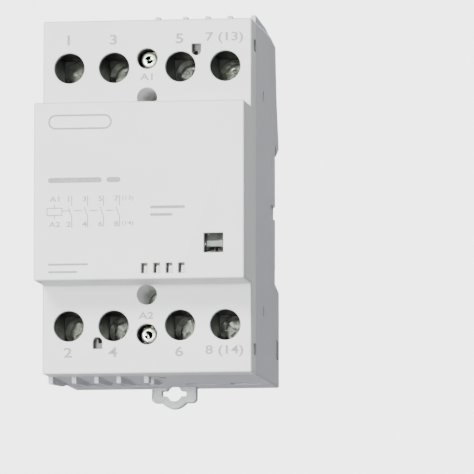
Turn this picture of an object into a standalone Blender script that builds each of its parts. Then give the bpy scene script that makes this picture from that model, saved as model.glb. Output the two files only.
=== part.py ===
"""Four-pole modular contactor for a 35 mm mounting rail.

Frame: X to the right, Y from the front face back towards the rail, Z up.
Origin: centre of the face that rests on the rail. Units: metres.
"""

import math

import bmesh
import bpy
from mathutils import Matrix, Vector

MM = 0.001

# Fits -----------------------------------------------------------------------
CLEAR = 0.3 * MM            # gap between neighbouring pieces
OVER = 1.0 * MM             # how far a cutter runs past the face it opens
FUSE = 0.2 * MM             # how far a joined lump reaches into its wall
ROUND = 24                  # facets of a large round
ROUND_SMALL = 16            # facets of a small round
SHARP_ANGLE = math.radians(35)

# Housing --------------------------------------------------------------------
WIDTH = 53.5 * MM           # three modules
HEIGHT = 90.0 * MM
SHOULDER_LENGTH = 22.5 * MM     # each shoulder, along Z
SHOULDER_DEPTH = 44.0 * MM  # rail seat to terminal shoulders
FRONT_STEP = 13.5 * MM      # shoulders to raised front
PARTING_DEPTH = 36.0 * MM   # rail seat to the joint of cover and base
WALL = 1.8 * MM
BACK_WALL = 2.0 * MM
FOOT_DEPTH = 7.2 * MM       # how far the base reaches behind the rail seat

# Rail seat ------------------------------------------------------------------
RAIL_WIDTH = 35.0 * MM
RAIL_PLAY = 0.7 * MM
RAIL_SLOT = 1.4 * MM        # slot that takes the edge of the rail
HOOK_GRIP = 2.7 * MM        # how far the fixed hook laps the rail edge
HOOK_SLOPE = 2.5 * MM
HOOK_TOP = 17.3 * MM        # upper edge of the rail, above the origin
SEAT_RELIEF = 0.3 * MM
SEAT_MARGIN = 0.4 * MM
FOOT_SLOPE = 1.7 * MM

# Upper rear edge of the base -------------------------------------------------
TOP_BEND_DEPTH = 3.0 * MM   # rail seat to the bend in the back
TOP_BEND_RISE = 13.2 * MM   # bend above the rail
TOP_EDGE_DEPTH = 0.9 * MM
TOP_EDGE_DROP = 1.4 * MM
TOP_FLAT_END = 9.0 * MM     # rail seat to the end of the flat top

# Rail clip ------------------------------------------------------------------
CLIP_WIDTH = 11.7 * MM
CLIP_THICK = 3.0 * MM
CLIP_GRIP = 2.1 * MM        # how far the clip laps the rail edge
CLIP_TAB = 4.0 * MM         # tab below the base
CLIP_BUMP = 1.6 * MM        # rounded nose below the tab
CLIP_BUMP_WIDTH = 6.4 * MM
CLIP_EAR_RADIUS = 1.2 * MM
CLIP_HOLE = 4.0 * MM
CLIP_HOLE_DROP = 1.6 * MM   # hole centre below the base
CLIP_NOTCH_WIDTH = 6.4 * MM
CLIP_NOTCH_HEIGHT = 1.4 * MM
CLIP_WINDOW_WIDTH = 3.6 * MM
CLIP_WINDOW_TOP = 20.0 * MM     # above the underside of the base
CLIP_WINDOW_BOTTOM = 6.0 * MM
CLIP_PEG_HEIGHT = 2.0 * MM
CLIP_SLOT_WIDTH = 7.0 * MM      # open back of the clip's channel

# Main terminals -------------------------------------------------------------
TERMINAL_END = 12.1 * MM    # screw axis to the end of the housing
SCREW_HOLE = 7.8 * MM       # hole in the shoulder
WELL = 8.0 * MM             # side of the square upper part of the screw well
WELL_DEPTH = 17.5 * MM      # shoulder to the step of the well
TUBE = 6.1 * MM             # narrow part that keeps the screw in
SCREW_HEAD = 6.6 * MM
SCREW_HEAD_HEIGHT = 2.6 * MM
SCREW_SHANK = 4.9 * MM
SCREW_LENGTH = 7.2 * MM
SCREW_CROSS = 4.6 * MM
SCREW_CROSS_WIDTH = 0.9 * MM
SCREW_CROSS_DEPTH = 1.6 * MM
BLOCK_SKIN = 0.15 * MM      # insert beside the outer cages
POLE_WALL = 2.5 * MM        # insert between the chambers of neighbouring poles
CAGE_WIDTH = 8.4 * MM
CAGE_LENGTH = 8.0 * MM
CAGE_SIDE = 1.0 * MM
CAGE_FRONT = 2.0 * MM
CAGE_BACK = 1.5 * MM
CAGE_REST = 1.2 * MM        # cage to back wall
CAGE_HOLE = 5.4 * MM
WIRE_ROOM = 6.0 * MM
WIRE_HOLE_WIDTH = 7.6 * MM
STRIP_WIDTH = 5.8 * MM
STRIP_THICK = 1.5 * MM
STRIP_END = 5.5 * MM        # strip past the screw axis

# Coil terminals -------------------------------------------------------------
COIL_END = 9.9 * MM         # coil screw axis to the end of the housing
COIL_SCREW_HOLE = 5.3 * MM
COIL_HEAD_DEPTH = 3.0 * MM
COIL_HEAD = 4.1 * MM
COIL_HEAD_HEIGHT = 1.8 * MM
COIL_SHANK = 3.0 * MM
COIL_SCREW_LENGTH = 6.6 * MM
COIL_CROSS = 2.9 * MM
COIL_CROSS_WIDTH = 0.7 * MM
COIL_CROSS_DEPTH = 1.1 * MM
COIL_CAGE_WIDTH = 6.0 * MM
COIL_CAGE_LENGTH = 5.2 * MM
COIL_CAGE_SIDE = 0.7 * MM
COIL_CAGE_FRONT = 1.4 * MM
COIL_CAGE_BACK = 1.0 * MM
COIL_CAGE_HOLE = 3.5 * MM
COIL_WIRE_ROOM = 4.4 * MM
COIL_PLATE_WIDTH = 4.0 * MM
COIL_PLATE_THICK = 1.0 * MM
COIL_PLATE_LEG = 14.0 * MM

# Cover screws ---------------------------------------------------------------
COVER_SCREW_STEP = 2.6 * MM     # screw axis beyond the raised front
COVER_SCREW_HOLE = 5.1 * MM
COVER_TOWER = 7.6 * MM
COVER_TOWER_FLOOR = 2.0 * MM
COVER_TOWER_REACH = 16.0 * MM    # from the parting line to the tower's end
COVER_POST = 7.0 * MM
COVER_HEAD = 4.4 * MM
COVER_HEAD_HEIGHT = 2.0 * MM
COVER_SHANK = 2.5 * MM
COVER_SHANK_LENGTH = 8.6 * MM
COVER_CROSS = 3.0 * MM
COVER_CROSS_WIDTH = 0.7 * MM
COVER_CROSS_DEPTH = 1.1 * MM

# Small openings of the cover and base ---------------------------------------
POCKET_SHIFT = 1.65 * MM    # pocket centre inside the line between the poles
POCKET_END = 7.8 * MM       # pocket centre to the end of the housing
POCKET_WIDTH = 2.4 * MM
POCKET_LENGTH = 3.0 * MM
VENT_X = 0.6 * MM           # left edge of the first vent
VENT_PITCH = 3.15 * MM
VENT_COUNT = 4
VENT_WIDTH = 1.65 * MM
VENT_LENGTH = 2.5 * MM
VENT_EDGE = 1.5 * MM        # vents to the lower edge of the raised front
SNAP_END = 4.7 * MM         # snap notch to the end of the housing
SNAP_LENGTH = 3.1 * MM
SNAP_DEPTH = 3.9 * MM
SNAP_NIB = 1.1 * MM
SLIT_END = 16.0 * MM
SLIT_LENGTH = 2.6 * MM
SLIT_WIDTH = 1.5 * MM
SLIT_DEPTH = 22.0 * MM
RECESS = 0.5 * MM           # depth of the recesses in the sides
NOTCH_FRONT = 9.0 * MM      # recess beside the rail, from the rail seat forwards
NOTCH_TOP = 1.3 * MM
NOTCH_HEIGHT = 3.3 * MM
LATCH_FRONT = 1.5 * MM      # recess beside the clip, from the rail seat backwards
LATCH_END = 7.0 * MM
LATCH_HEIGHT = 5.0 * MM
RIB_HEIGHT = 1.8 * MM
RIB_STEP_HEIGHT = 1.0 * MM  # rib height half way back
RIB_WIDTH = 1.4 * MM
BACK_RIB = 1.2 * MM
BACK_POCKETS = 3            # pockets on each side of the middle

# Indicator ------------------------------------------------------------------
WINDOW_SHIFT = 1.0 * MM     # window centre inside the outer pole
WINDOW_END = 9.0 * MM       # window centre to the lower edge of the raised front
WINDOW_WIDTH = 4.95 * MM
WINDOW_HEIGHT = 5.0 * MM
LENS_FLANGE = 0.8 * MM
LENS_FLANGE_THICK = 0.5 * MM
FLAG_THICK = 1.3 * MM

# Magnet ---------------------------------------------------------------------
CORE_STACK = 16.0 * MM      # thickness of the laminations, along X
CORE_ROOM = 2.9 * MM        # core to the risers of the terminal strips
CORE_YOKE = 5.0 * MM
CORE_LEG = 13.1 * MM
CORE_MIDDLE = 9.0 * MM
CORE_OUTER = 4.5 * MM
DAMPER = 0.7 * MM
ARMATURE_THICK = 5.0 * MM
CARRIER_TRAVEL = 4.0 * MM
BOBBIN_WALL = 1.0 * MM
BOBBIN_FLANGE = 1.2 * MM
BOBBIN_WIDTH = 34.0 * MM
WINDING_INSET = 0.8 * MM
BOARD_THICK = 1.6 * MM
BOARD_GAP = 3.5 * MM        # bobbin to board
BOARD_SHORT = 2.0 * MM      # board shorter than the core
BOARD_INSET = 4.0 * MM      # contact plate to board
BOARD_PART = 2.4 * MM
RECTIFIER_WIDTH = 9.0 * MM
RECTIFIER_HEIGHT = 8.0 * MM
RECTIFIER_Z = 9.0 * MM
DISC = 10.0 * MM
DISC_Z = -8.0 * MM

# Contacts and carrier -------------------------------------------------------
FRAME_PLATE = 2.0 * MM
FRAME_WALL = 1.2 * MM
CARRIER_FOOT = 2.9 * MM
CARRIER_FOOT_WIDTH = 31.0 * MM
CARRIER_HEIGHT = 10.0 * MM
STEM_WIDTH = 5.6 * MM
STEM_PLAY = 0.4 * MM
BEAM_HEIGHT = 6.0 * MM
BEAM_WEB = 1.5 * MM
BRIDGE_WIDTH = 5.0 * MM
BRIDGE_LENGTH = 19.0 * MM
BRIDGE_THICK = 1.2 * MM
CONTACT_Z = 7.0 * MM
CONTACT_TIP = 4.0 * MM
CONTACT_TIP_HEIGHT = 1.0 * MM
CONTACT_GAP = 2.9 * MM
STRIP_INNER_END = 5.0 * MM
SPRING_WIRE = 0.5 * MM
SPRING_STEPS = 10           # steps in a turn of a spring
SPRING_SIDES = 6
CONTACT_SPRING = 4.0 * MM
CONTACT_SPRING_LENGTH = 3.9 * MM
CONTACT_SPRING_TURNS = 3
RETURN_SPRING = 4.0 * MM
RETURN_SPRING_X = 12.5 * MM
RETURN_SPRING_TURNS = 5
CLIP_SPRING = 2.6 * MM
CLIP_SPRING_TURNS = 6

# Places worked out from the sizes -------------------------------------------
SIDE = WIDTH / 2
END = HEIGHT / 2
FRONT_END = END - SHOULDER_LENGTH
SHOULDER_Y = -SHOULDER_DEPTH
FRONT_Y = SHOULDER_Y - FRONT_STEP
PARTING_Y = -PARTING_DEPTH
BACK_Y = -BACK_WALL
INNER_SIDE = SIDE - WALL
INNER_END = END - WALL

CHAMBER_HALF = CAGE_WIDTH / 2 + CLEAR
POLE_OUTER = INNER_SIDE - CLEAR - BLOCK_SKIN - CHAMBER_HALF
POLE_INNER = POLE_OUTER - 2 * CHAMBER_HALF - POLE_WALL
BETWEEN_POLES = (POLE_INNER + POLE_OUTER) / 2
POLES = (-POLE_OUTER, -POLE_INNER, POLE_INNER, POLE_OUTER)
ROWS = (1, -1)              # upper row, lower row
TERMINAL_Z = END - TERMINAL_END
COIL_Z = END - COIL_END
COVER_SCREW_Z = FRONT_END + COVER_SCREW_STEP
TOWER_BACK_Y = PARTING_Y + COVER_TOWER_REACH
POST_FRONT_Y = TOWER_BACK_Y + CLEAR

CAGE_BACK_Y = BACK_Y - CAGE_REST
STRIP_BACK_Y = CAGE_BACK_Y - CAGE_BACK - WIRE_ROOM
STRIP_Y = STRIP_BACK_Y - STRIP_THICK
SCREW_TIP_Y = STRIP_Y - CLEAR
SCREW_SEAT_Y = SCREW_TIP_Y - SCREW_LENGTH
SCREW_FACE_Y = SCREW_SEAT_Y - SCREW_HEAD_HEIGHT
CAGE_FRONT_Y = SCREW_TIP_Y - CAGE_FRONT

COIL_FACE_Y = SHOULDER_Y + COIL_HEAD_DEPTH
COIL_SEAT_Y = COIL_FACE_Y + COIL_HEAD_HEIGHT
COIL_TIP_Y = COIL_SEAT_Y + COIL_SCREW_LENGTH
COIL_PLATE_Y = COIL_TIP_Y + CLEAR
COIL_PLATE_BACK_Y = COIL_PLATE_Y + COIL_PLATE_THICK
COIL_CAGE_FRONT_Y = COIL_TIP_Y - COIL_CAGE_FRONT
COIL_ROOM_BACK_Y = COIL_PLATE_BACK_Y + COIL_WIRE_ROOM
COIL_CAGE_BACK_Y = COIL_ROOM_BACK_Y + COIL_CAGE_BACK

CORE_BACK_Y = BACK_Y - 2 * CLEAR - DAMPER
CORE_YOKE_Y = CORE_BACK_Y - CORE_YOKE
CORE_FACE_Y = CORE_YOKE_Y - CORE_LEG
ARMATURE_BACK_Y = CORE_FACE_Y - CARRIER_TRAVEL - CLEAR
ARMATURE_FRONT_Y = ARMATURE_BACK_Y - ARMATURE_THICK
FOOT_BACK_Y = ARMATURE_FRONT_Y - CLEAR
FOOT_FRONT_Y = FOOT_BACK_Y - CARRIER_FOOT
PLATE_BACK_Y = FOOT_FRONT_Y - CLEAR
PLATE_FRONT_Y = PLATE_BACK_Y - FRAME_PLATE
CONTACT_BACK_Y = PLATE_FRONT_Y - CLEAR
CONTACT_STRIP_Y = CONTACT_BACK_Y - STRIP_THICK
CONTACT_FACE_Y = CONTACT_STRIP_Y - CONTACT_TIP_HEIGHT
BRIDGE_TIP_Y = CONTACT_FACE_Y - CONTACT_GAP - CLEAR
BRIDGE_BACK_Y = BRIDGE_TIP_Y - CONTACT_TIP_HEIGHT
BRIDGE_FRONT_Y = BRIDGE_BACK_Y - BRIDGE_THICK
BEAM_WINDOW_BACK_Y = BRIDGE_BACK_Y + CLEAR
BEAM_BACK_Y = BEAM_WINDOW_BACK_Y + BEAM_WEB
BEAM_WINDOW_FRONT_Y = BRIDGE_FRONT_Y - 2 * CLEAR - CONTACT_SPRING_LENGTH
BEAM_FRONT_Y = BEAM_WINDOW_FRONT_Y - BEAM_WEB

PLATE_END = FRONT_END + 2 * CLEAR
BLOCK_IN = PLATE_END + CLEAR
BLOCK_OUT = INNER_END - CLEAR
BLOCK_SIDE = INNER_SIDE - CLEAR
RISER_IN = PLATE_END - 3 * CLEAR - STRIP_THICK + FUSE
BLOCK_FRONT_Y = SHOULDER_Y + WALL + CLEAR
BLOCK_BACK_Y = BACK_Y - CLEAR
CHAMBER_FRONT_Y = SCREW_FACE_Y - CLEAR
CHAMBER_IN = TERMINAL_Z - CAGE_LENGTH / 2 - CLEAR - OVER
CORE_SPAN = 2 * (RISER_IN - CORE_ROOM)
BOARD_X = BOBBIN_WIDTH / 2 + BOARD_GAP
BOARD_HEIGHT = CORE_SPAN - BOARD_SHORT

POCKET_X = BETWEEN_POLES - POCKET_SHIFT
WINDOW_X = POLE_OUTER - WINDOW_SHIFT
WINDOW_Z = WINDOW_END - FRONT_END
LENS_FRONT_Y = FRONT_Y + CLEAR
LENS_BACK_Y = FRONT_Y + WALL + CLEAR
FLAG_FRONT_Y = LENS_BACK_Y + LENS_FLANGE_THICK + CLEAR

RAIL_LOW = HOOK_TOP - RAIL_WIDTH
FOOT_TOP = RAIL_LOW - RAIL_PLAY
CLIP_FRONT_Y = RAIL_SLOT
CLIP_BACK_Y = CLIP_FRONT_Y + CLIP_THICK
CLIP_TIP = RAIL_LOW + CLIP_GRIP
PEG_BOTTOM = -END + CLIP_WINDOW_BOTTOM + CLEAR
PEG_TOP = PEG_BOTTOM + CLIP_PEG_HEIGHT

# Colour, roughness and metallic value of each finish ------------------------
FINISHES = {
    "cover_plastic": ((0.72, 0.73, 0.72), 0.50, 0.0),
    "base_plastic": ((0.52, 0.52, 0.54), 0.55, 0.0),
    "clip_plastic": ((0.60, 0.61, 0.62), 0.50, 0.0),
    "dark_plastic": ((0.035, 0.036, 0.034), 0.60, 0.0),
    "bobbin_plastic": ((0.10, 0.10, 0.10), 0.55, 0.0),
    "lens_plastic": ((0.80, 0.82, 0.82), 0.15, 0.0),
    "flag_plastic": ((0.55, 0.56, 0.56), 0.50, 0.0),
    "zinc_steel": ((0.72, 0.74, 0.70), 0.28, 1.0),
    "spring_steel": ((0.55, 0.55, 0.56), 0.30, 1.0),
    "core_steel": ((0.30, 0.30, 0.31), 0.45, 1.0),
    "copper": ((0.72, 0.38, 0.22), 0.35, 1.0),
    "winding_copper": ((0.55, 0.20, 0.08), 0.40, 1.0),
    "brass": ((0.70, 0.55, 0.28), 0.35, 1.0),
    "board_resin": ((0.06, 0.22, 0.10), 0.50, 0.0),
    "rubber_black": ((0.02, 0.02, 0.02), 0.85, 0.0),
}


# Building blocks ------------------------------------------------------------
def clear_scene():
    """Remove every object the file opened with."""
    for found in list(bpy.data.objects):
        bpy.data.objects.remove(found)


def new_object(name, shape):
    """Turn a bmesh into a linked object with outward faces."""
    bmesh.ops.recalc_face_normals(shape, faces=shape.faces[:])
    mesh = bpy.data.meshes.new(name)
    shape.to_mesh(mesh)
    shape.free()
    made = bpy.data.objects.new(name, mesh)
    bpy.context.collection.objects.link(made)
    return made


def box(name, xs, ys, zs):
    """A block between pairs of X, Y and Z values, given in either order."""
    shape = bmesh.new()
    low = Vector((min(xs), min(ys), min(zs)))
    high = Vector((max(xs), max(ys), max(zs)))
    place = Matrix.Translation((low + high) / 2) @ Matrix.Diagonal((*(high - low), 1))
    bmesh.ops.create_cube(shape, size=1, matrix=place)
    return new_object(name, shape)


def span(centre, width):
    """The two ends of a length about a centre."""
    return centre - width / 2, centre + width / 2


def prism(name, outline, xs):
    """An outline of (y, z) points pulled along X."""
    shape = bmesh.new()
    face = shape.faces.new([shape.verts.new((xs[0], y, z)) for y, z in outline])
    grown = bmesh.ops.extrude_face_region(shape, geom=[face])["geom"]
    moved = [item for item in grown if isinstance(item, bmesh.types.BMVert)]
    bmesh.ops.translate(shape, verts=moved, vec=(xs[1] - xs[0], 0, 0))
    return new_object(name, shape)


def plate(name, outline, ys):
    """An outline of (x, z) points pulled along Y."""
    shape = bmesh.new()
    face = shape.faces.new([shape.verts.new((x, ys[0], z)) for x, z in outline])
    grown = bmesh.ops.extrude_face_region(shape, geom=[face])["geom"]
    moved = [item for item in grown if isinstance(item, bmesh.types.BMVert)]
    bmesh.ops.translate(shape, verts=moved, vec=(0, ys[1] - ys[0], 0))
    return new_object(name, shape)


def rod(name, x, z, ys, diameter, sides=ROUND):
    """A round bar along Y."""
    points = [(x + diameter / 2 * math.cos(2 * math.pi * k / sides),
               z + diameter / 2 * math.sin(2 * math.pi * k / sides)) for k in range(sides)]
    return plate(name, points, ys)


def combine(target, tool, operation):
    """Cut or join one object with another, and remove the tool."""
    modifier = target.modifiers.new(operation, "BOOLEAN")
    modifier.operation = operation
    modifier.solver = "EXACT"
    modifier.object = tool
    seen = target.evaluated_get(bpy.context.evaluated_depsgraph_get())
    mesh = bpy.data.meshes.new_from_object(seen)
    target.modifiers.remove(modifier)
    target.data = mesh
    bpy.data.objects.remove(tool)


def cut(target, *tools):
    """Cut each tool out of the target."""
    for tool in tools:
        combine(target, tool, "DIFFERENCE")


def join(target, *tools):
    """Join each tool to the target."""
    for tool in tools:
        combine(target, tool, "UNION")


def helix(name, centre, ends, diameter, turns, axis):
    """A closed coil spring of round wire between two end planes along an axis."""
    radius = (diameter - SPRING_WIRE) / 2
    low, high = min(ends) + SPRING_WIRE / 2, max(ends) - SPRING_WIRE / 2
    steps = round(turns * SPRING_STEPS)
    turn_axes = {"Y": ((1, 0, 0), (0, 0, 1), (0, 1, 0)), "Z": ((1, 0, 0), (0, 1, 0), (0, 0, 1))}
    across, up, along = (Vector(way) for way in turn_axes[axis])
    shape = bmesh.new()
    rings = []
    for step in range(steps + 1):
        angle = 2 * math.pi * step / SPRING_STEPS
        out = across * math.cos(angle) + up * math.sin(angle)
        middle = Vector(centre) + out * radius + along * (low + (high - low) * step / steps)
        ring = []
        for side in range(SPRING_SIDES):
            around = 2 * math.pi * side / SPRING_SIDES
            reach = out * math.cos(around) + along * math.sin(around)
            ring.append(shape.verts.new(middle + reach * SPRING_WIRE / 2))
        rings.append(ring)
    for first, second in zip(rings, rings[1:]):
        for k in range(SPRING_SIDES):
            after = (k + 1) % SPRING_SIDES
            shape.faces.new((first[k], first[after], second[after], second[k]))
    shape.faces.new(rings[0])
    shape.faces.new(rings[-1])
    return new_object(name, shape)


def cross(x, z, face_y, length, width, depth):
    """The two crossed bars that cut a screw's recess."""
    ys = (face_y - OVER, face_y + depth)
    return (box("bar", span(x, length), ys, span(z, width)),
            box("bar", span(x, width), ys, span(z, length)))


def screw(name, x, z, face_y, head, head_height, shank, length, recess):
    """A cross-headed screw along Y, its face towards the front."""
    seat = face_y + head_height
    made = rod(name, x, z, (face_y, seat), head)
    join(made, rod("shank", x, z, (seat - FUSE, seat + length), shank, ROUND_SMALL))
    cut(made, *cross(x, z, face_y, *recess))
    return made


def finish(made, material, origin=(0, 0, 0), parent=None, smooth=False):
    """Give a piece its finish, its origin and its parent."""
    made.data.transform(Matrix.Translation(-Vector(origin)))
    made.location = origin
    made.data.materials.clear()
    made.data.materials.append(bpy.data.materials[material])
    if smooth:
        made.data.shade_smooth()
        made.data.set_sharp_from_angle(angle=SHARP_ANGLE)
    else:
        made.data.shade_flat()
    if parent is not None:
        bpy.context.view_layer.update()
        made.parent = parent
        made.matrix_parent_inverse = parent.matrix_world.inverted()
    return made


def make_finishes():
    """One Principled material for each finish."""
    for name, (colour, roughness, metallic) in FINISHES.items():
        material = bpy.data.materials.new(name)
        material.use_nodes = True
        shader = material.node_tree.nodes["Principled BSDF"]
        shader.inputs["Base Color"].default_value = (*colour, 1)
        shader.inputs["Roughness"].default_value = roughness
        shader.inputs["Metallic"].default_value = metallic


# Housing --------------------------------------------------------------------
def wedge(xs, z_deep, z_shallow, face_y):
    """A cutter that goes through the wall at one end and runs out at the other."""
    outline = [(face_y - OVER, z_deep), (face_y + WALL + OVER, z_deep),
               (face_y + WALL, z_deep + (z_shallow - z_deep) / 3), (face_y - OVER, z_shallow)]
    return prism("wedge", outline, xs)


def front_cover(root):
    """Front shell with the raised face, the shoulders and every front opening."""
    outline = [(PARTING_Y, END), (SHOULDER_Y, END), (SHOULDER_Y, FRONT_END), (FRONT_Y, FRONT_END),
               (FRONT_Y, -FRONT_END), (SHOULDER_Y, -FRONT_END), (SHOULDER_Y, -END), (PARTING_Y, -END)]
    cover = prism("front_cover", outline, (-SIDE, SIDE))
    inside = [(PARTING_Y + OVER, INNER_END), (SHOULDER_Y + WALL, INNER_END),
              (SHOULDER_Y + WALL, FRONT_END - WALL), (FRONT_Y + WALL, FRONT_END - WALL)]
    inside += [(y, -z) for y, z in reversed(inside)]
    cut(cover, prism("inside", inside, (-INNER_SIDE, INNER_SIDE)))
    through = (SHOULDER_Y - OVER, SHOULDER_Y + WALL + OVER)
    for row in ROWS:
        screw_z = row * COVER_SCREW_Z
        join(cover, rod("tower", 0, screw_z, (SHOULDER_Y + FUSE, TOWER_BACK_Y), COVER_TOWER))
        cut(cover, rod("well", 0, screw_z, (SHOULDER_Y - OVER, TOWER_BACK_Y - COVER_TOWER_FLOOR),
                       COVER_SCREW_HOLE))
        cut(cover, rod("pilot", 0, screw_z, (SHOULDER_Y, POST_FRONT_Y), COVER_SHANK + 2 * CLEAR,
                       ROUND_SMALL))
        for x in POLES:
            cut(cover, rod("hole", x, row * TERMINAL_Z, through, SCREW_HOLE))
        cut(cover, rod("hole", 0, row * COIL_Z, through, COIL_SCREW_HOLE, ROUND_SMALL))
        pocket_z = row * (END - POCKET_END)
        deep, shallow = pocket_z + POCKET_LENGTH / 2, pocket_z - POCKET_LENGTH / 2
        cut(cover, wedge(span(row * POCKET_X, POCKET_WIDTH), deep, shallow, SHOULDER_Y))
        for side in (-1, 1):
            xs = (side * (INNER_SIDE - OVER), side * (SIDE + OVER))
            zs = (row * (END - SNAP_END), row * (END - SNAP_END - SNAP_LENGTH))
            cut(cover, box("snap", xs, (PARTING_Y + OVER, PARTING_Y - SNAP_DEPTH), zs))
    vent_low = -FRONT_END + VENT_EDGE
    for k in range(VENT_COUNT):
        left = VENT_X + k * VENT_PITCH
        cut(cover, wedge((left, left + VENT_WIDTH), vent_low + VENT_LENGTH, vent_low, FRONT_Y))
    cut(cover, box("window", span(WINDOW_X, WINDOW_WIDTH), (FRONT_Y - OVER, FRONT_Y + WALL + OVER),
                   span(WINDOW_Z, WINDOW_HEIGHT)))
    return finish(cover, "cover_plastic", parent=root, smooth=True)


def base_outline():
    """Side outline of the base, as (y, z) points."""
    seat_low = CLIP_TIP + SEAT_MARGIN
    seat_high = HOOK_TOP - HOOK_GRIP - SEAT_MARGIN
    hook_low = HOOK_TOP - HOOK_GRIP
    return [(PARTING_Y, -END), (FOOT_DEPTH, -END), (FOOT_DEPTH, FOOT_TOP - FOOT_SLOPE),
            (-SEAT_RELIEF, FOOT_TOP), (-SEAT_RELIEF, seat_low), (0, seat_low), (0, seat_high),
            (-SEAT_RELIEF, seat_high), (-SEAT_RELIEF, HOOK_TOP), (RAIL_SLOT, HOOK_TOP),
            (RAIL_SLOT, hook_low), (FOOT_DEPTH, hook_low + HOOK_SLOPE),
            (TOP_BEND_DEPTH, HOOK_TOP + TOP_BEND_RISE), (TOP_EDGE_DEPTH, END - TOP_EDGE_DROP),
            (-TOP_FLAT_END, END), (PARTING_Y, END)]


def back_pockets(base):
    """Lightening pockets between ribs on the back of the base."""
    floor_y = -SEAT_RELIEF + CLEAR
    beside_clip = CLIP_WIDTH / 2 + CLEAR + BACK_RIB
    pitch = (INNER_SIDE - BACK_RIB / 2) / BACK_POCKETS
    for side in (-1, 1):
        for k in range(BACK_POCKETS):
            near = k * pitch + BACK_RIB / 2
            far = (k + 1) * pitch - BACK_RIB / 2
            xs = (side * near, side * far)
            cut(base, box("pocket", xs, (floor_y, FOOT_DEPTH + OVER),
                          (HOOK_TOP + WALL, END - 2 * WALL)))
            if near > beside_clip:
                cut(base, box("pocket", xs, (floor_y, FOOT_DEPTH + OVER),
                              (FOOT_TOP - FOOT_SLOPE - WALL, -INNER_END)))


def clip_channel(base):
    """Channel for the rail clip, its open back and the peg for its spring."""
    top = FOOT_TOP + OVER
    bottom = -END - OVER
    wide = span(0, CLIP_WIDTH + 2 * CLEAR)
    cut(base, box("channel", wide, (CLIP_FRONT_Y - CLEAR, CLIP_BACK_Y + CLEAR), (bottom, top)))
    cut(base, box("slot", span(0, CLIP_SLOT_WIDTH), (CLIP_BACK_Y, FOOT_DEPTH + OVER), (bottom, top)))
    join(base, box("peg", span(0, CLIP_WINDOW_WIDTH - 2 * CLEAR),
                   (CLIP_FRONT_Y - CLEAR - FUSE, CLIP_BACK_Y - CLEAR), (PEG_BOTTOM, PEG_TOP)))


def guide_ribs(base):
    """Raised ribs on half of the top and, turned round, on half of the underside."""
    front = PARTING_Y + CLEAR
    places = (RIB_WIDTH, POLE_INNER, BETWEEN_POLES, POLE_OUTER, SIDE - RIB_WIDTH / 2)
    for row in ROWS:
        low = row * (END - FUSE)
        outline = [(front, low), (front, row * (END + RIB_HEIGHT)),
                   (front / 2, row * (END + RIB_STEP_HEIGHT)), (STRIP_Y - OVER, row * END),
                   (STRIP_Y - OVER, low)]
        for x in places:
            join(base, prism("rib", outline, span(row * x, RIB_WIDTH - FUSE)))


def base_housing(root):
    """Rear shell with the rail hook, the wire entries and the clip channel."""
    base = prism("base_housing", base_outline(), (-SIDE, SIDE))
    cut(base, box("inside", (-INNER_SIDE, INNER_SIDE), (PARTING_Y - OVER, BACK_Y),
                  (-INNER_END, INNER_END)))
    back_pockets(base)
    clip_channel(base)
    guide_ribs(base)
    for row in ROWS:
        wall = (row * (INNER_END - OVER), row * (END + RIB_HEIGHT + OVER))
        for x in POLES:
            cut(base, box("entry", span(x, WIRE_HOLE_WIDTH),
                          (STRIP_BACK_Y - CLEAR, CAGE_BACK_Y - CAGE_BACK + CLEAR), wall))
        cut(base, box("entry", span(0, COIL_CAGE_WIDTH - 2 * COIL_CAGE_SIDE + 2 * CLEAR),
                      (COIL_PLATE_BACK_Y - CLEAR, COIL_ROOM_BACK_Y + CLEAR), wall))
        post_z = row * COVER_SCREW_Z
        join(base, rod("post", 0, post_z, (POST_FRONT_Y, BACK_Y + FUSE), COVER_POST,
                       ROUND_SMALL))
        cut(base, rod("pilot", 0, post_z, (POST_FRONT_Y - OVER, POST_FRONT_Y + COVER_SHANK_LENGTH),
                      COVER_SHANK + 2 * CLEAR, ROUND_SMALL))
        slit_z = row * (END - SLIT_END - SLIT_LENGTH / 2)
        for side in (-1, 1):
            through = (side * (INNER_SIDE - OVER), side * (SIDE + OVER))
            cut(base, box("slit", through, span(-SLIT_DEPTH, SLIT_WIDTH), span(slit_z, SLIT_LENGTH)))
    for side in (-1, 1):
        shallow = (side * (SIDE - RECESS), side * (SIDE + OVER))
        cut(base, box("recess", shallow, (-NOTCH_FRONT, FOOT_DEPTH),
                      (NOTCH_TOP - NOTCH_HEIGHT, NOTCH_TOP)))
        cut(base, box("recess", shallow, (LATCH_FRONT, FOOT_DEPTH - WALL / 2),
                      (-END + LATCH_END, -END + LATCH_END + LATCH_HEIGHT)))
    return finish(base, "base_plastic", parent=root, smooth=True)


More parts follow.
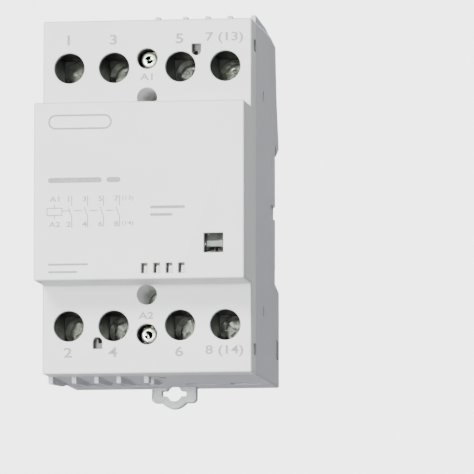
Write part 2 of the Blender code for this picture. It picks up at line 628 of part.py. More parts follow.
def terminal_block(name, row, root):
    """Dark insert with four screw wells, four cage chambers and the coil terminal's chamber."""
    block = box(name, span(0, 2 * BLOCK_SIDE), (BLOCK_FRONT_Y, BLOCK_BACK_Y),
                (row * BLOCK_IN, row * BLOCK_OUT))
    out = row * (BLOCK_OUT + OVER)
    back = BLOCK_BACK_Y + OVER
    screw_z = row * TERMINAL_Z
    for x in POLES:
        cut(block, box("well", span(x, WELL), (BLOCK_FRONT_Y - OVER, SHOULDER_Y + WELL_DEPTH),
                       span(screw_z, WELL)))
        cut(block, rod("tube", x, screw_z, (BLOCK_FRONT_Y, CHAMBER_FRONT_Y + OVER), TUBE))
        cut(block, box("chamber", span(x, 2 * CHAMBER_HALF), (CHAMBER_FRONT_Y, back),
                       (row * CHAMBER_IN, out)))
        cut(block, box("slot", span(x, STRIP_WIDTH + 2 * CLEAR), (STRIP_Y - CLEAR, back),
                       (row * (BLOCK_IN - OVER), row * (CHAMBER_IN + OVER))))
    coil_z = row * COIL_Z
    cut(block, rod("coil_hole", 0, coil_z, (BLOCK_FRONT_Y - OVER, COIL_SEAT_Y + OVER),
                   COIL_SCREW_HOLE, ROUND_SMALL))
    chamber_in = COIL_Z - COIL_CAGE_LENGTH / 2 - CLEAR
    cut(block, box("coil_chamber", span(0, COIL_CAGE_WIDTH + 2 * CLEAR),
                   (COIL_SEAT_Y - CLEAR, COIL_CAGE_BACK_Y + CLEAR), (row * chamber_in, out)))
    leg_in = chamber_in - 2 * CLEAR - COIL_PLATE_THICK
    cut(block, box("leg_slot", span(0, COIL_PLATE_WIDTH + 2 * CLEAR),
                   (COIL_PLATE_Y - CLEAR, COIL_PLATE_Y + COIL_PLATE_LEG + CLEAR),
                   (row * leg_in, row * (chamber_in + FUSE))))
    cut(block, rod("post_hole", 0, row * COVER_SCREW_Z, (BLOCK_FRONT_Y - OVER, back),
                   COVER_TOWER + 2 * CLEAR))
    for side in (-1, 1):
        nib_y = span(PARTING_Y - SNAP_DEPTH / 2, SNAP_DEPTH - 4 * CLEAR)
        nib_z = END - SNAP_END - SNAP_LENGTH / 2
        join(block, box("nib", (side * (BLOCK_SIDE - FUSE), side * (BLOCK_SIDE + CLEAR + SNAP_NIB)),
                        nib_y, span(row * nib_z, SNAP_LENGTH - 4 * CLEAR)))
    return finish(block, "dark_plastic", parent=root, smooth=True)


def contact_frame(root):
    """Plate that carries the fixed contacts, with the walls between the poles."""
    frame = box("contact_frame", span(0, 2 * BLOCK_SIDE), (PLATE_FRONT_Y, PLATE_BACK_Y),
                span(0, 2 * PLATE_END))
    front = FRONT_Y + WALL + CLEAR
    wall_end = FRONT_END - WALL - CLEAR
    beside_stem = STEM_WIDTH / 2 + 3 * CLEAR + FRAME_WALL / 2
    for x in (-BETWEEN_POLES, -beside_stem, beside_stem, BETWEEN_POLES):
        wall = box("wall", span(x, FRAME_WALL), (front, PLATE_FRONT_Y + FUSE), span(0, 2 * wall_end))
        join(frame, wall)
    cut(frame, box("beam_way", span(0, 2 * BLOCK_SIDE), (front - OVER, PLATE_FRONT_Y - 2 * CLEAR),
                   span(0, BEAM_HEIGHT + 4 * CLEAR)))
    cut(frame, box("stem_way", span(0, STEM_WIDTH + 2 * STEM_PLAY),
                   (PLATE_FRONT_Y - OVER, PLATE_BACK_Y + OVER), span(0, CARRIER_HEIGHT)))
    for row in ROWS:
        for x in POLES:
            cut(frame, box("riser_way", span(x, STRIP_WIDTH + 2 * CLEAR),
                           (PLATE_FRONT_Y - OVER, PLATE_BACK_Y + OVER),
                           (row * (RISER_IN - CLEAR), row * (PLATE_END + OVER))))
        cut(frame, rod("post_way", 0, row * COVER_SCREW_Z, (PLATE_FRONT_Y - OVER, PLATE_BACK_Y + OVER),
                       COVER_TOWER + 2 * CLEAR))
    return finish(frame, "dark_plastic", parent=root)


# Terminals ------------------------------------------------------------------
def contact_strip(name, x, row, root):
    """Terminal strip: outer leg in the cage, riser, and inner leg with its contact tip."""
    riser_out = RISER_IN + STRIP_THICK
    outline = [(STRIP_BACK_Y, TERMINAL_Z + STRIP_END), (STRIP_Y, TERMINAL_Z + STRIP_END),
               (STRIP_Y, riser_out), (CONTACT_STRIP_Y, riser_out), (CONTACT_STRIP_Y, STRIP_INNER_END),
               (CONTACT_BACK_Y, STRIP_INNER_END), (CONTACT_BACK_Y, RISER_IN), (STRIP_BACK_Y, RISER_IN)]
    strip = prism(name, [(y, row * z) for y, z in outline], span(x, STRIP_WIDTH))
    join(strip, rod("tip", x, row * CONTACT_Z, (CONTACT_FACE_Y, CONTACT_STRIP_Y + FUSE), CONTACT_TIP,
                    ROUND_SMALL))
    return finish(strip, "copper", parent=root)


def clamp_cage(name, x, z, xs, ys, room, length, hole, root):
    """Box clamp, open along Z for the wire, with the screw's hole in its front wall."""
    cage = box(name, span(x, xs[0]), ys, span(z, length))
    cut(cage, box("room", span(x, xs[1]), room, span(z, length + 2 * OVER)))
    cut(cage, rod("hole", x, z, (ys[0] - OVER, room[0] + OVER), hole, ROUND_SMALL))
    return finish(cage, "zinc_steel", origin=(x, ys[1], z), parent=root)


def main_terminals(root):
    """Eight strips, screws and cages: odd numbers in the upper row, even in the lower."""
    for row in ROWS:
        for k, x in enumerate(POLES):
            number = 2 * k + (1 if row > 0 else 2)
            contact_strip(f"contact_strip_{number}", x, row, root)
            z = row * TERMINAL_Z
            made = screw(f"terminal_screw_{number}", x, z, SCREW_FACE_Y, SCREW_HEAD,
                         SCREW_HEAD_HEIGHT, SCREW_SHANK, SCREW_LENGTH,
                         (SCREW_CROSS, SCREW_CROSS_WIDTH, SCREW_CROSS_DEPTH))
            finish(made, "zinc_steel", origin=(x, SCREW_FACE_Y, z), parent=root, smooth=True)
            clamp_cage(f"clamp_cage_{number}", x, z, (CAGE_WIDTH, CAGE_WIDTH - 2 * CAGE_SIDE),
                       (CAGE_FRONT_Y, CAGE_BACK_Y), (SCREW_TIP_Y, CAGE_BACK_Y - CAGE_BACK),
                       CAGE_LENGTH, CAGE_HOLE, root)


def coil_terminals(root):
    """The plate, screw and cage of each coil terminal."""
    for label, row in (("a1", 1), ("a2", -1)):
        z = row * COIL_Z
        inner = COIL_Z - COIL_CAGE_LENGTH / 2 - 2 * CLEAR - COIL_PLATE_THICK
        outer = COIL_Z + COIL_CAGE_LENGTH / 2 + 2 * CLEAR
        outline = [(COIL_PLATE_Y, row * outer), (COIL_PLATE_Y, row * inner),
                   (COIL_PLATE_Y + COIL_PLATE_LEG, row * inner),
                   (COIL_PLATE_Y + COIL_PLATE_LEG, row * (inner + COIL_PLATE_THICK)),
                   (COIL_PLATE_BACK_Y, row * (inner + COIL_PLATE_THICK)),
                   (COIL_PLATE_BACK_Y, row * outer)]
        finish(prism(f"coil_plate_{label}", outline, span(0, COIL_PLATE_WIDTH)), "brass", parent=root)
        made = screw(f"coil_screw_{label}", 0, z, COIL_FACE_Y, COIL_HEAD, COIL_HEAD_HEIGHT, COIL_SHANK,
                     COIL_SCREW_LENGTH, (COIL_CROSS, COIL_CROSS_WIDTH, COIL_CROSS_DEPTH))
        finish(made, "zinc_steel", origin=(0, COIL_FACE_Y, z), parent=root, smooth=True)
        clamp_cage(f"coil_cage_{label}", 0, z,
                   (COIL_CAGE_WIDTH, COIL_CAGE_WIDTH - 2 * COIL_CAGE_SIDE),
                   (COIL_CAGE_FRONT_Y, COIL_CAGE_BACK_Y), (COIL_TIP_Y, COIL_ROOM_BACK_Y),
                   COIL_CAGE_LENGTH, COIL_CAGE_HOLE, root)


def cover_screws(root):
    """The two screws that hold the cover on the base."""
    face = TOWER_BACK_Y - COVER_TOWER_FLOOR - CLEAR - COVER_HEAD_HEIGHT
    for label, row in (("upper", 1), ("lower", -1)):
        z = row * COVER_SCREW_Z
        made = screw(f"cover_screw_{label}", 0, z, face, COVER_HEAD, COVER_HEAD_HEIGHT, COVER_SHANK,
                     COVER_SHANK_LENGTH, (COVER_CROSS, COVER_CROSS_WIDTH, COVER_CROSS_DEPTH))
        finish(made, "zinc_steel", origin=(0, face, z), parent=root, smooth=True)


# Magnet and moving contacts -------------------------------------------------
def magnet(root):
    """Laminated core on its rubber pad, with the wound bobbin on the middle leg."""
    stack = span(0, CORE_STACK)
    core = box("fixed_core", stack, (CORE_FACE_Y, CORE_BACK_Y), span(0, CORE_SPAN))
    room_out = CORE_SPAN / 2 - CORE_OUTER
    for row in ROWS:
        cut(core, box("window", span(0, CORE_STACK + 2 * OVER), (CORE_FACE_Y - OVER, CORE_YOKE_Y),
                      (row * CORE_MIDDLE / 2, row * room_out)))
    finish(core, "core_steel", parent=root)
    pad = box("core_pad", span(0, CORE_STACK - 4 * CLEAR), (BACK_Y - CLEAR - DAMPER, BACK_Y - CLEAR),
              span(0, CORE_SPAN - 8 * CLEAR))
    finish(pad, "rubber_black", parent=root)
    ys = (CORE_FACE_Y + CLEAR, CORE_YOKE_Y - CLEAR)
    inner = (CORE_STACK + 2 * CLEAR, CORE_MIDDLE + 2 * CLEAR)
    tube = [size + 2 * BOBBIN_WALL for size in inner]
    flange_z = 2 * (room_out - CLEAR)
    bobbin = box("coil_bobbin", span(0, BOBBIN_WIDTH), ys, span(0, flange_z))
    winding_y = (ys[0] + BOBBIN_FLANGE, ys[1] - BOBBIN_FLANGE)
    ring = box("ring", span(0, BOBBIN_WIDTH + 2 * OVER), winding_y, span(0, flange_z + 2 * OVER))
    cut(ring, box("core", span(0, tube[0]), (ys[0], ys[1]), span(0, tube[1])))
    cut(bobbin, ring)
    cut(bobbin, box("leg", span(0, inner[0]), (ys[0] - OVER, ys[1] + OVER), span(0, inner[1])))
    finish(bobbin, "bobbin_plastic", parent=root)
    wire = box("coil_winding", span(0, BOBBIN_WIDTH - 2 * WINDING_INSET),
               (winding_y[0] + CLEAR, winding_y[1] - CLEAR), span(0, flange_z - 2 * WINDING_INSET))
    cut(wire, box("tube", span(0, tube[0] + 2 * CLEAR), ys, span(0, tube[1] + 2 * CLEAR)))
    finish(wire, "winding_copper", parent=root)


def rectifier_board(root):
    """Small circuit board beside the coil, with its rectifier and surge disc."""
    front = PLATE_BACK_Y + BOARD_INSET
    board = box("rectifier_board", (BOARD_X, BOARD_X + BOARD_THICK), (front, BACK_Y - CLEAR),
                span(0, BOARD_HEIGHT))
    near = (BOARD_X - BOARD_PART, BOARD_X + FUSE)
    middle = (front + BACK_Y) / 2
    join(board, box("rectifier", near, span(middle, RECTIFIER_WIDTH),
                    span(RECTIFIER_Z, RECTIFIER_HEIGHT)))
    disc = rod("disc", middle, DISC_Z, near, DISC, ROUND_SMALL)
    disc.data.transform(Matrix(((0, 1, 0, 0), (1, 0, 0, 0), (0, 0, 1, 0), (0, 0, 0, 1))))
    disc.data.flip_normals()
    join(board, disc)
    finish(board, "board_resin", parent=root)


def contact_carrier(root):
    """Sliding carrier: beam with a window for each bridge, stem, and foot on the armature."""
    beam_half = POLE_OUTER + BRIDGE_WIDTH / 2 + BEAM_WEB
    carrier = box("contact_carrier", span(0, 2 * beam_half), (BEAM_FRONT_Y, BEAM_BACK_Y),
                  span(0, BEAM_HEIGHT))
    join(carrier, box("stem", span(0, STEM_WIDTH), (BEAM_BACK_Y - FUSE, FOOT_FRONT_Y + FUSE),
                      span(0, CARRIER_HEIGHT - 2 * STEM_PLAY)))
    join(carrier, box("foot", span(0, CARRIER_FOOT_WIDTH), (FOOT_FRONT_Y, FOOT_BACK_Y),
                      span(0, CARRIER_HEIGHT + OVER)))
    for x in POLES:
        cut(carrier, box("window", span(x, BRIDGE_WIDTH + 2 * CLEAR),
                         (BEAM_WINDOW_FRONT_Y, BEAM_WINDOW_BACK_Y), span(0, BEAM_HEIGHT + 2 * OVER)))
    carrier = finish(carrier, "dark_plastic", origin=(0, FOOT_BACK_Y, 0), parent=root)
    armature = box("armature", span(0, CORE_STACK), (ARMATURE_FRONT_Y, ARMATURE_BACK_Y),
                   span(0, CORE_SPAN))
    finish(armature, "core_steel", origin=(0, ARMATURE_FRONT_Y, 0), parent=carrier)
    return carrier


def moving_contacts(carrier):
    """The bridge and contact spring of each pole."""
    for k, x in enumerate(POLES, start=1):
        bridge = box(f"contact_bridge_{k}", span(x, BRIDGE_WIDTH), (BRIDGE_FRONT_Y, BRIDGE_BACK_Y),
                     span(0, BRIDGE_LENGTH))
        for row in ROWS:
            join(bridge, rod("tip", x, row * CONTACT_Z, (BRIDGE_BACK_Y - FUSE, BRIDGE_TIP_Y),
                             CONTACT_TIP, ROUND_SMALL))
        finish(bridge, "copper", origin=(x, BRIDGE_BACK_Y, 0), parent=carrier)
        ends = (BEAM_WINDOW_FRONT_Y + CLEAR, BRIDGE_FRONT_Y - CLEAR)
        spring = helix(f"contact_spring_{k}", (x, 0, 0), ends, CONTACT_SPRING,
                       CONTACT_SPRING_TURNS, "Y")
        finish(spring, "spring_steel", origin=(x, ends[1], 0), parent=carrier, smooth=True)
    for label, side in (("left", -1), ("right", 1)):
        x = side * RETURN_SPRING_X
        ends = (FOOT_BACK_Y + CLEAR, CORE_FACE_Y)
        spring = helix(f"return_spring_{label}", (x, 0, 0), ends, RETURN_SPRING,
                       RETURN_SPRING_TURNS, "Y")
        finish(spring, "spring_steel", origin=(x, ends[0], 0), parent=carrier, smooth=True)


def indicator(root, carrier):
    """The clear window in the cover, and the flag that the carrier moves behind it."""
    lens = box("indicator_lens", span(WINDOW_X, WINDOW_WIDTH - 2 * CLEAR),
               (LENS_FRONT_Y, LENS_BACK_Y + FUSE), span(WINDOW_Z, WINDOW_HEIGHT - 2 * CLEAR))
    join(lens, box("flange", span(WINDOW_X, WINDOW_WIDTH + 2 * LENS_FLANGE),
                   (LENS_BACK_Y, LENS_BACK_Y + LENS_FLANGE_THICK),
                   span(WINDOW_Z, WINDOW_HEIGHT + 2 * LENS_FLANGE)))
    finish(lens, "lens_plastic", parent=root)
    arm_y = (BEAM_FRONT_Y - CLEAR - FLAG_THICK, BEAM_FRONT_Y - CLEAR)
    head_z = span(WINDOW_Z, WINDOW_HEIGHT - 2 * CLEAR)
    flag = box("indicator_flag", span(WINDOW_X, WINDOW_WIDTH - 4 * CLEAR), arm_y,
               (head_z[0], BEAM_HEIGHT / 2))
    join(flag, box("head", span(WINDOW_X, WINDOW_WIDTH - 2 * CLEAR), (FLAG_FRONT_Y, arm_y[1]), head_z))
    finish(flag, "flag_plastic", origin=(WINDOW_X, arm_y[1], WINDOW_Z), parent=carrier)


# Rail clip ------------------------------------------------------------------
def clip_outline():
    """Front outline of the clip, as (x, z) points, from its top right corner down and round."""
    half = CLIP_WIDTH / 2
    ear = -END - CLIP_TAB
    nose = ear - CLIP_BUMP
    right = [(half, CLIP_TIP)]
    corner_steps = 4
    for k in range(corner_steps + 1):
        angle = math.pi / 2 * k / corner_steps
        right.append((half - CLIP_EAR_RADIUS * (1 - math.cos(angle)),
                      ear + CLIP_EAR_RADIUS * (1 - math.sin(angle))))
    nose_steps = 8
    for k in range(nose_steps):
        share = k / nose_steps
        right.append((CLIP_BUMP_WIDTH / 2 * (1 - share),
                      ear + (nose - ear) * (1 - math.cos(math.pi * share)) / 2))
    return right + [(0, nose)] + [(-x, z) for x, z in reversed(right)]


def rail_clip(root):
    """Sliding clip with its claw, spring window, tab and keyhole, and its spring."""
    clip = plate("rail_clip", clip_outline(), (CLIP_FRONT_Y, CLIP_BACK_Y))
    claw = [(CLIP_FRONT_Y, CLIP_TIP + FUSE), (CLIP_BACK_Y + OVER, CLIP_TIP + FUSE),
            (CLIP_BACK_Y + OVER, CLIP_TIP - CLIP_THICK - OVER)]
    cut(clip, prism("bevel", claw, span(0, CLIP_WIDTH + 2 * OVER)))
    thick = (CLIP_FRONT_Y - OVER, CLIP_BACK_Y + OVER)
    window = (-END + CLIP_WINDOW_BOTTOM, -END + CLIP_WINDOW_TOP)
    cut(clip, box("window", span(0, CLIP_WINDOW_WIDTH), thick, window))
    hole_z = -END - CLIP_HOLE_DROP
    cut(clip, rod("hole", 0, hole_z, thick, CLIP_HOLE))
    cut(clip, box("notch", span(0, CLIP_NOTCH_WIDTH), thick, span(hole_z, CLIP_NOTCH_HEIGHT)))
    middle = (CLIP_FRONT_Y + CLIP_BACK_Y) / 2
    finish(clip, "clip_plastic", origin=(0, middle, -END), parent=root, smooth=True)
    ends = (PEG_TOP + CLEAR, window[1] - CLEAR)
    spring = helix("clip_spring", (0, middle, 0), ends, CLIP_SPRING, CLIP_SPRING_TURNS,
                   "Z")
    finish(spring, "spring_steel", origin=(0, middle, ends[0]), parent=root, smooth=True)


def build():
    """Make the whole contactor."""
    clear_scene()
    make_finishes()
    root = bpy.data.objects.new("contactor", None)
    bpy.context.collection.objects.link(root)
    front_cover(root)
    base_housing(root)
    terminal_block("terminal_block_upper", 1, root)
    terminal_block("terminal_block_lower", -1, root)
    contact_frame(root)
    main_terminals(root)
    coil_terminals(root)
    cover_screws(root)
    magnet(root)
    rectifier_board(root)
    carrier = contact_carrier(root)
    moving_contacts(carrier)
    indicator(root, carrier)
    rail_clip(root)


build()
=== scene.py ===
"""Looks of a four-pole modular contactor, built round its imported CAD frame.

Frame: X to the right, Y from the front face back towards the rail, Z up, in metres.
"""

import logging
import math
from dataclasses import dataclass
from enum import Enum
from typing import Any, Dict, Iterable, List, Optional, Sequence, Tuple, Union

import bmesh
import bpy
from mathutils import Matrix, Vector


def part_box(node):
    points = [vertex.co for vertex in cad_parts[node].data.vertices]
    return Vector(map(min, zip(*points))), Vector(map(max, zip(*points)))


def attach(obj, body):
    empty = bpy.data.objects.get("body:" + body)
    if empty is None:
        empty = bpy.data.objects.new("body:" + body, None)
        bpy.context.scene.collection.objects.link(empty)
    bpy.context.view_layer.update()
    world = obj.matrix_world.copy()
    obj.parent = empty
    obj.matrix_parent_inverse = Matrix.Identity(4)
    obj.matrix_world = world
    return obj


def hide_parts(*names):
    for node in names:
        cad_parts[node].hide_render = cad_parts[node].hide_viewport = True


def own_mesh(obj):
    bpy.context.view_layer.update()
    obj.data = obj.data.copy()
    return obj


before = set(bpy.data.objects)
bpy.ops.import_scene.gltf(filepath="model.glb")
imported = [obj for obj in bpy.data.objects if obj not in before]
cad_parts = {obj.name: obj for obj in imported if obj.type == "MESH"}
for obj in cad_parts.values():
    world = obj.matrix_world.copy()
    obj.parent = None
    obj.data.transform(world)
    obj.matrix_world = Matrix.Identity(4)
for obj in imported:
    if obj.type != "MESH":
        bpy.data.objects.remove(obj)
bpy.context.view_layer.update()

LOG = logging.getLogger("contactor")
MM = 0.001
OVER = 1.0 * MM             # how far a cutter runs past the face it opens
FUSE = 0.2 * MM             # how far a joined lump reaches into its wall
CLEAR = 0.3 * MM            # gap between neighbouring pieces
FINE = 64                   # facets of a round that shows
COARSE = 32                 # facets of a small round
ROWS = (1, -1)              # upper row, lower row
FLAT = 0.99995              # a face this square to an axis is shaded flat
WALL = 1.8 * MM             # wall of both housing shells
COIL_HEAD_DEPTH = 3.0 * MM  # shoulder to the heads of the coil screws

Pair = Tuple[float, float]
Colour = Tuple[float, float, float]
Piece = bpy.types.Object


class Slot(Enum):
    """Material slots of the record."""

    COVER = "cover_plastic"
    BASE = "base_plastic"
    CLIP = "clip_plastic"
    DARK = "dark_plastic"
    BOBBIN = "bobbin_plastic"
    LENS = "lens_clear"
    FLAG = "flag_plastic"
    SCREW = "screw_zinc"
    CAGE = "cage_zinc"
    SPRING = "spring_steel"
    CORE = "core_steel"
    COPPER = "copper"
    WINDING = "winding_copper"
    BRASS = "brass_plate"
    BOARD = "board_resin"
    RUBBER = "pad_rubber"


class Body(Enum):
    """Bodies that pieces ride on; a numbered body is named where its piece is made."""

    HOUSING = "housing"
    CARRIER = "carrier"
    CLIP = "clip"


# Shader maths ---------------------------------------------------------------
class Socket:
    """An output socket that takes part in arithmetic.

    Args:
        recipe: The material that the socket belongs to.
        link: The Blender socket.
    """

    def __init__(self, recipe: "Recipe", link: bpy.types.NodeSocket) -> None:
        """Keep the material and the Blender socket."""
        self.recipe = recipe
        self.link = link

    def _maths(self, operation: str, first: Any, second: Any) -> "Socket":
        """Add one Math node on two values or sockets."""
        made = self.recipe.node("ShaderNodeMath", {"operation": operation}, {0: first, 1: second})
        return self.recipe.out(made, 0)

    def __add__(self, other: Any) -> "Socket":
        """Socket plus value."""
        return self._maths("ADD", self, other)

    def __radd__(self, other: Any) -> "Socket":
        """Value plus socket."""
        return self._maths("ADD", other, self)

    def __sub__(self, other: Any) -> "Socket":
        """Socket minus value."""
        return self._maths("SUBTRACT", self, other)

    def __rsub__(self, other: Any) -> "Socket":
        """Value minus socket."""
        return self._maths("SUBTRACT", other, self)

    def __mul__(self, other: Any) -> "Socket":
        """Socket times value."""
        return self._maths("MULTIPLY", self, other)

    def __rmul__(self, other: Any) -> "Socket":
        """Value times socket."""
        return self._maths("MULTIPLY", other, self)

    def __pow__(self, other: Any) -> "Socket":
        """Socket to a power."""
        return self._maths("POWER", self, other)


class Recipe:
    """The node tree of one material, ending in a Principled shader."""

    def __init__(self, name: str) -> None:
        """Make an empty material with its shader and output.

        Args:
            name: Name of the material.
        """
        self.material = bpy.data.materials.new(name)
        self.material.use_nodes = True
        self.tree = self.material.node_tree
        self.tree.nodes.clear()
        self.shader = self.node("ShaderNodeBsdfPrincipled")
        self.node("ShaderNodeOutputMaterial", None, {"Surface": self.out(self.shader, "BSDF")})

    def node(self, kind: str, settings: Optional[Dict[str, Any]] = None,
             sockets: Optional[Dict[Union[str, int], Any]] = None) -> bpy.types.Node:
        """Add one node.

        Args:
            kind: Blender's name of the node type.
            settings: The node's own settings; "stops" holds a ramp's places and colours.
            sockets: Values or links of its inputs, by name or number.

        Returns:
            The node.
        """
        made = self.tree.nodes.new(kind)
        for key, value in (settings or {}).items():
            if key == "stops":
                ramp = made.color_ramp
                for stop, (place, colour) in zip((ramp.elements[0], ramp.elements[1]), value):
                    stop.position, stop.color = place, (*colour, 1)
                for place, colour in value[2:]:
                    ramp.elements.new(place).color = (*colour, 1)
            else:
                setattr(made, key, value)
        for key, value in (sockets or {}).items():
            self.feed(made.inputs[key], value)
        return made

    def feed(self, target: bpy.types.NodeSocket, value: Any) -> None:
        """Set an input to a value, or link a socket to it.

        Args:
            target: Input of a node.
            value: A value of the input's kind, or a socket.
        """
        if isinstance(value, Socket):
            self.tree.links.new(value.link, target)
        else:
            target.default_value = value

    def out(self, node: bpy.types.Node, key: Union[str, int]) -> Socket:
        """One output of a node."""
        return Socket(self, node.outputs[key])

    def place(self, stretch: Sequence[float] = (1.0, 1.0, 1.0)) -> Socket:
        """Position on the piece in metres, scaled along each axis.

        Args:
            stretch: Scale along X, Y and Z.

        Returns:
            The position as a vector socket.
        """
        where = self.node("ShaderNodeTexCoord")
        scaled = self.node("ShaderNodeMapping", {"vector_type": "POINT"},
                           {"Vector": self.out(where, "Object"), "Scale": tuple(stretch)})
        return self.out(scaled, "Vector")

    def noise(self, scale: float, detail: float = 3.0, rough: float = 0.5,
              stretch: Sequence[float] = (1.0, 1.0, 1.0)) -> Socket:
        """Soft noise about 0.5 over the piece.

        Args:
            scale: Waves in a metre.
            detail: Octaves.
            rough: Share of the finer octaves.
            stretch: Scale along X, Y and Z.

        Returns:
            A value about 0.5.
        """
        made = self.node("ShaderNodeTexNoise", None,
                         {"Vector": self.place(stretch), "Scale": scale, "Detail": detail,
                          "Roughness": rough})
        return self.out(made, "Fac")

    def bands(self, scale: float, axis: str, wobble: float = 0.0) -> Socket:
        """Parallel bands across one axis, from 0 to 1.

        Args:
            scale: Blender's wave scale, 2 pi over twenty times the width of a pair of bands.
            axis: X, Y or Z.
            wobble: How far the bands wander.

        Returns:
            A value from 0 to 1.
        """
        made = self.node("ShaderNodeTexWave", {"wave_type": "BANDS", "bands_direction": axis},
                         {"Vector": self.place(), "Scale": scale, "Distortion": wobble,
                          "Detail": 1.0})
        return self.out(made, "Fac")

    def between(self, value: Socket, low: float, high: float) -> Socket:
        """Stretch the part of a value from low to high over 0 to 1.

        Args:
            value: The value to stretch.
            low: What becomes 0.
            high: What becomes 1.

        Returns:
            The stretched value.
        """
        made = self.node("ShaderNodeMapRange", None,
                         {"Value": value, "From Min": low, "From Max": high})
        return self.out(made, "Result")

    def edges(self, low: float = 0.51, high: float = 0.60) -> Socket:
        """Where the surface turns outwards, for worn or thin edges."""
        made = self.node("ShaderNodeNewGeometry")
        return self.between(self.out(made, "Pointiness"), low, high)

    def blend(self, share: Any, first: Any, second: Any) -> Socket:
        """Mix two colours.

        Args:
            share: 0 for the first colour, 1 for the second.
            first: Colour or socket.
            second: Colour or socket.

        Returns:
            The mixed colour.
        """
        made = self.node("ShaderNodeMix", {"data_type": "RGBA"})
        self.feed(made.inputs[0], share)
        self.feed(made.inputs[6], first if isinstance(first, Socket) else (*first, 1))
        self.feed(made.inputs[7], second if isinstance(second, Socket) else (*second, 1))
        return self.out(made, 2)

    def bump(self, height: Socket, depth: float, strength: float = 1.0) -> Socket:
        """Surface relief of a given depth in metres.

        Args:
            height: Relief from 0 to 1.
            depth: Depth of the relief in metres.
            strength: Share of the relief that shows.

        Returns:
            The normal.
        """
        made = self.node("ShaderNodeBump", None,
                         {"Height": height, "Distance": depth, "Strength": strength})
        return self.out(made, "Normal")

    def paint(self, colour: Any, roughness: Any, normal: Optional[Socket] = None,
              metallic: float = 0.0) -> None:
        """Feed the shader's main sockets.

        Args:
            colour: Colour or socket.
            roughness: Value or socket.
            normal: Relief, if there is any.
            metallic: 0 for plastic, 1 for metal.
        """
        base = colour if isinstance(colour, Socket) else (*colour, 1)
        self.feed(self.shader.inputs["Base Color"], base)
        self.feed(self.shader.inputs["Roughness"], roughness)
        self.feed(self.shader.inputs["Metallic"], metallic)
        if normal is not None:
            self.feed(self.shader.inputs["Normal"], normal)


# Finishes -------------------------------------------------------------------
def shade(colour: Colour, factor: float) -> Colour:
    """A colour made lighter or darker."""
    return tuple(min(1.0, part * factor) for part in colour)


@dataclass(frozen=True)
class MouldedPlastic:
    """Spark-eroded moulded plastic with a fine grain.

    Args:
        name: Name of the material.
        colour: Main colour.
        roughness: Mean roughness.
        grain: Depth of the grain in metres.
        mottle: Share by which the colour drifts over the piece.
        glass: Share of pale glass fibre specks.
    """

    name: str
    colour: Colour
    roughness: float
    grain: float = 0.006 * MM
    mottle: float = 0.03
    glass: float = 0.0

    def make(self) -> bpy.types.Material:
        """Build the material.

        Returns:
            The material.
        """
        recipe = Recipe(self.name)
        drift = recipe.noise(45.0, 2.0)
        cloud = recipe.noise(260.0, 3.0)
        colour = recipe.blend(recipe.between(drift, 0.3, 0.7), shade(self.colour, 1 - self.mottle),
                              shade(self.colour, 1 + self.mottle))
        colour = recipe.blend(recipe.edges() * 0.35, colour, shade(self.colour, 1.12))
        dust = recipe.between(recipe.noise(900.0, 4.0, 0.7), 0.66, 0.80)
        colour = recipe.blend(dust * 0.10, colour, shade(self.colour, 0.80))
        if self.glass:
            fibre = recipe.between(recipe.noise(1500.0, 2.0, 0.5, (1.0, 0.25, 1.0)), 0.60, 0.72)
            colour = recipe.blend(fibre * self.glass, colour, shade(self.colour, 2.4))
        fine = recipe.noise(2600.0, 3.0, 0.6)
        relief = fine * 0.8 + cloud * 0.2
        rough = self.roughness - 0.06 + cloud * 0.12
        recipe.paint(colour, rough, recipe.bump(relief, self.grain))
        recipe.shader.inputs["IOR"].default_value = 1.49
        return recipe.material


@dataclass(frozen=True)
class PlatedSteel:
    """Zinc-plated or bare steel with fine scratches and a slight cast.

    Args:
        name: Name of the material.
        colour: Main colour.
        cast: Colour of the patches where the plating has a tint.
        roughness: Mean roughness.
        grooves: Stretch of the scratches along X, Y and Z.
    """

    name: str
    colour: Colour
    cast: Colour
    roughness: float
    grooves: Tuple[float, float, float] = (1.0, 1.0, 1.0)

    def make(self) -> bpy.types.Material:
        """Build the material.

        Returns:
            The material.
        """
        recipe = Recipe(self.name)
        patch = recipe.between(recipe.noise(420.0, 3.0), 0.38, 0.66)
        colour = recipe.blend(patch, self.colour, self.cast)
        stain = recipe.between(recipe.noise(1300.0, 4.0, 0.65), 0.62, 0.78)
        colour = recipe.blend(stain * 0.35, colour, shade(self.colour, 0.55))
        scratch = recipe.noise(3200.0, 2.0, 0.5, self.grooves)
        rough = self.roughness - 0.08 + scratch * 0.12 + patch * 0.06
        recipe.paint(colour, rough, recipe.bump(scratch, 0.004 * MM), 1.0)
        return recipe.material


@dataclass(frozen=True)
class Laminations:
    """Edge of a stack of thin steel sheets.

    Args:
        name: Name of the material.
        colour: Colour of a sheet's edge.
        sheet: Thickness of a sheet in metres.
    """

    name: str
    colour: Colour
    sheet: float

    def make(self) -> bpy.types.Material:
        """Build the material.

        Returns:
            The material.
        """
        recipe = Recipe(self.name)
        wave_turn = 20.0
        stripe = recipe.bands(2 * math.pi / (wave_turn * self.sheet), "X")
        gap = recipe.between(stripe, 0.0, 0.3)
        colour = recipe.blend(gap, shade(self.colour, 0.25), self.colour)
        oil = recipe.between(recipe.noise(300.0, 3.0), 0.45, 0.7)
        colour = recipe.blend(oil * 0.4, colour, shade(self.colour, 0.6))
        recipe.paint(colour, 0.34 + oil * 0.2, recipe.bump(gap, 0.02 * MM), 1.0)
        return recipe.material


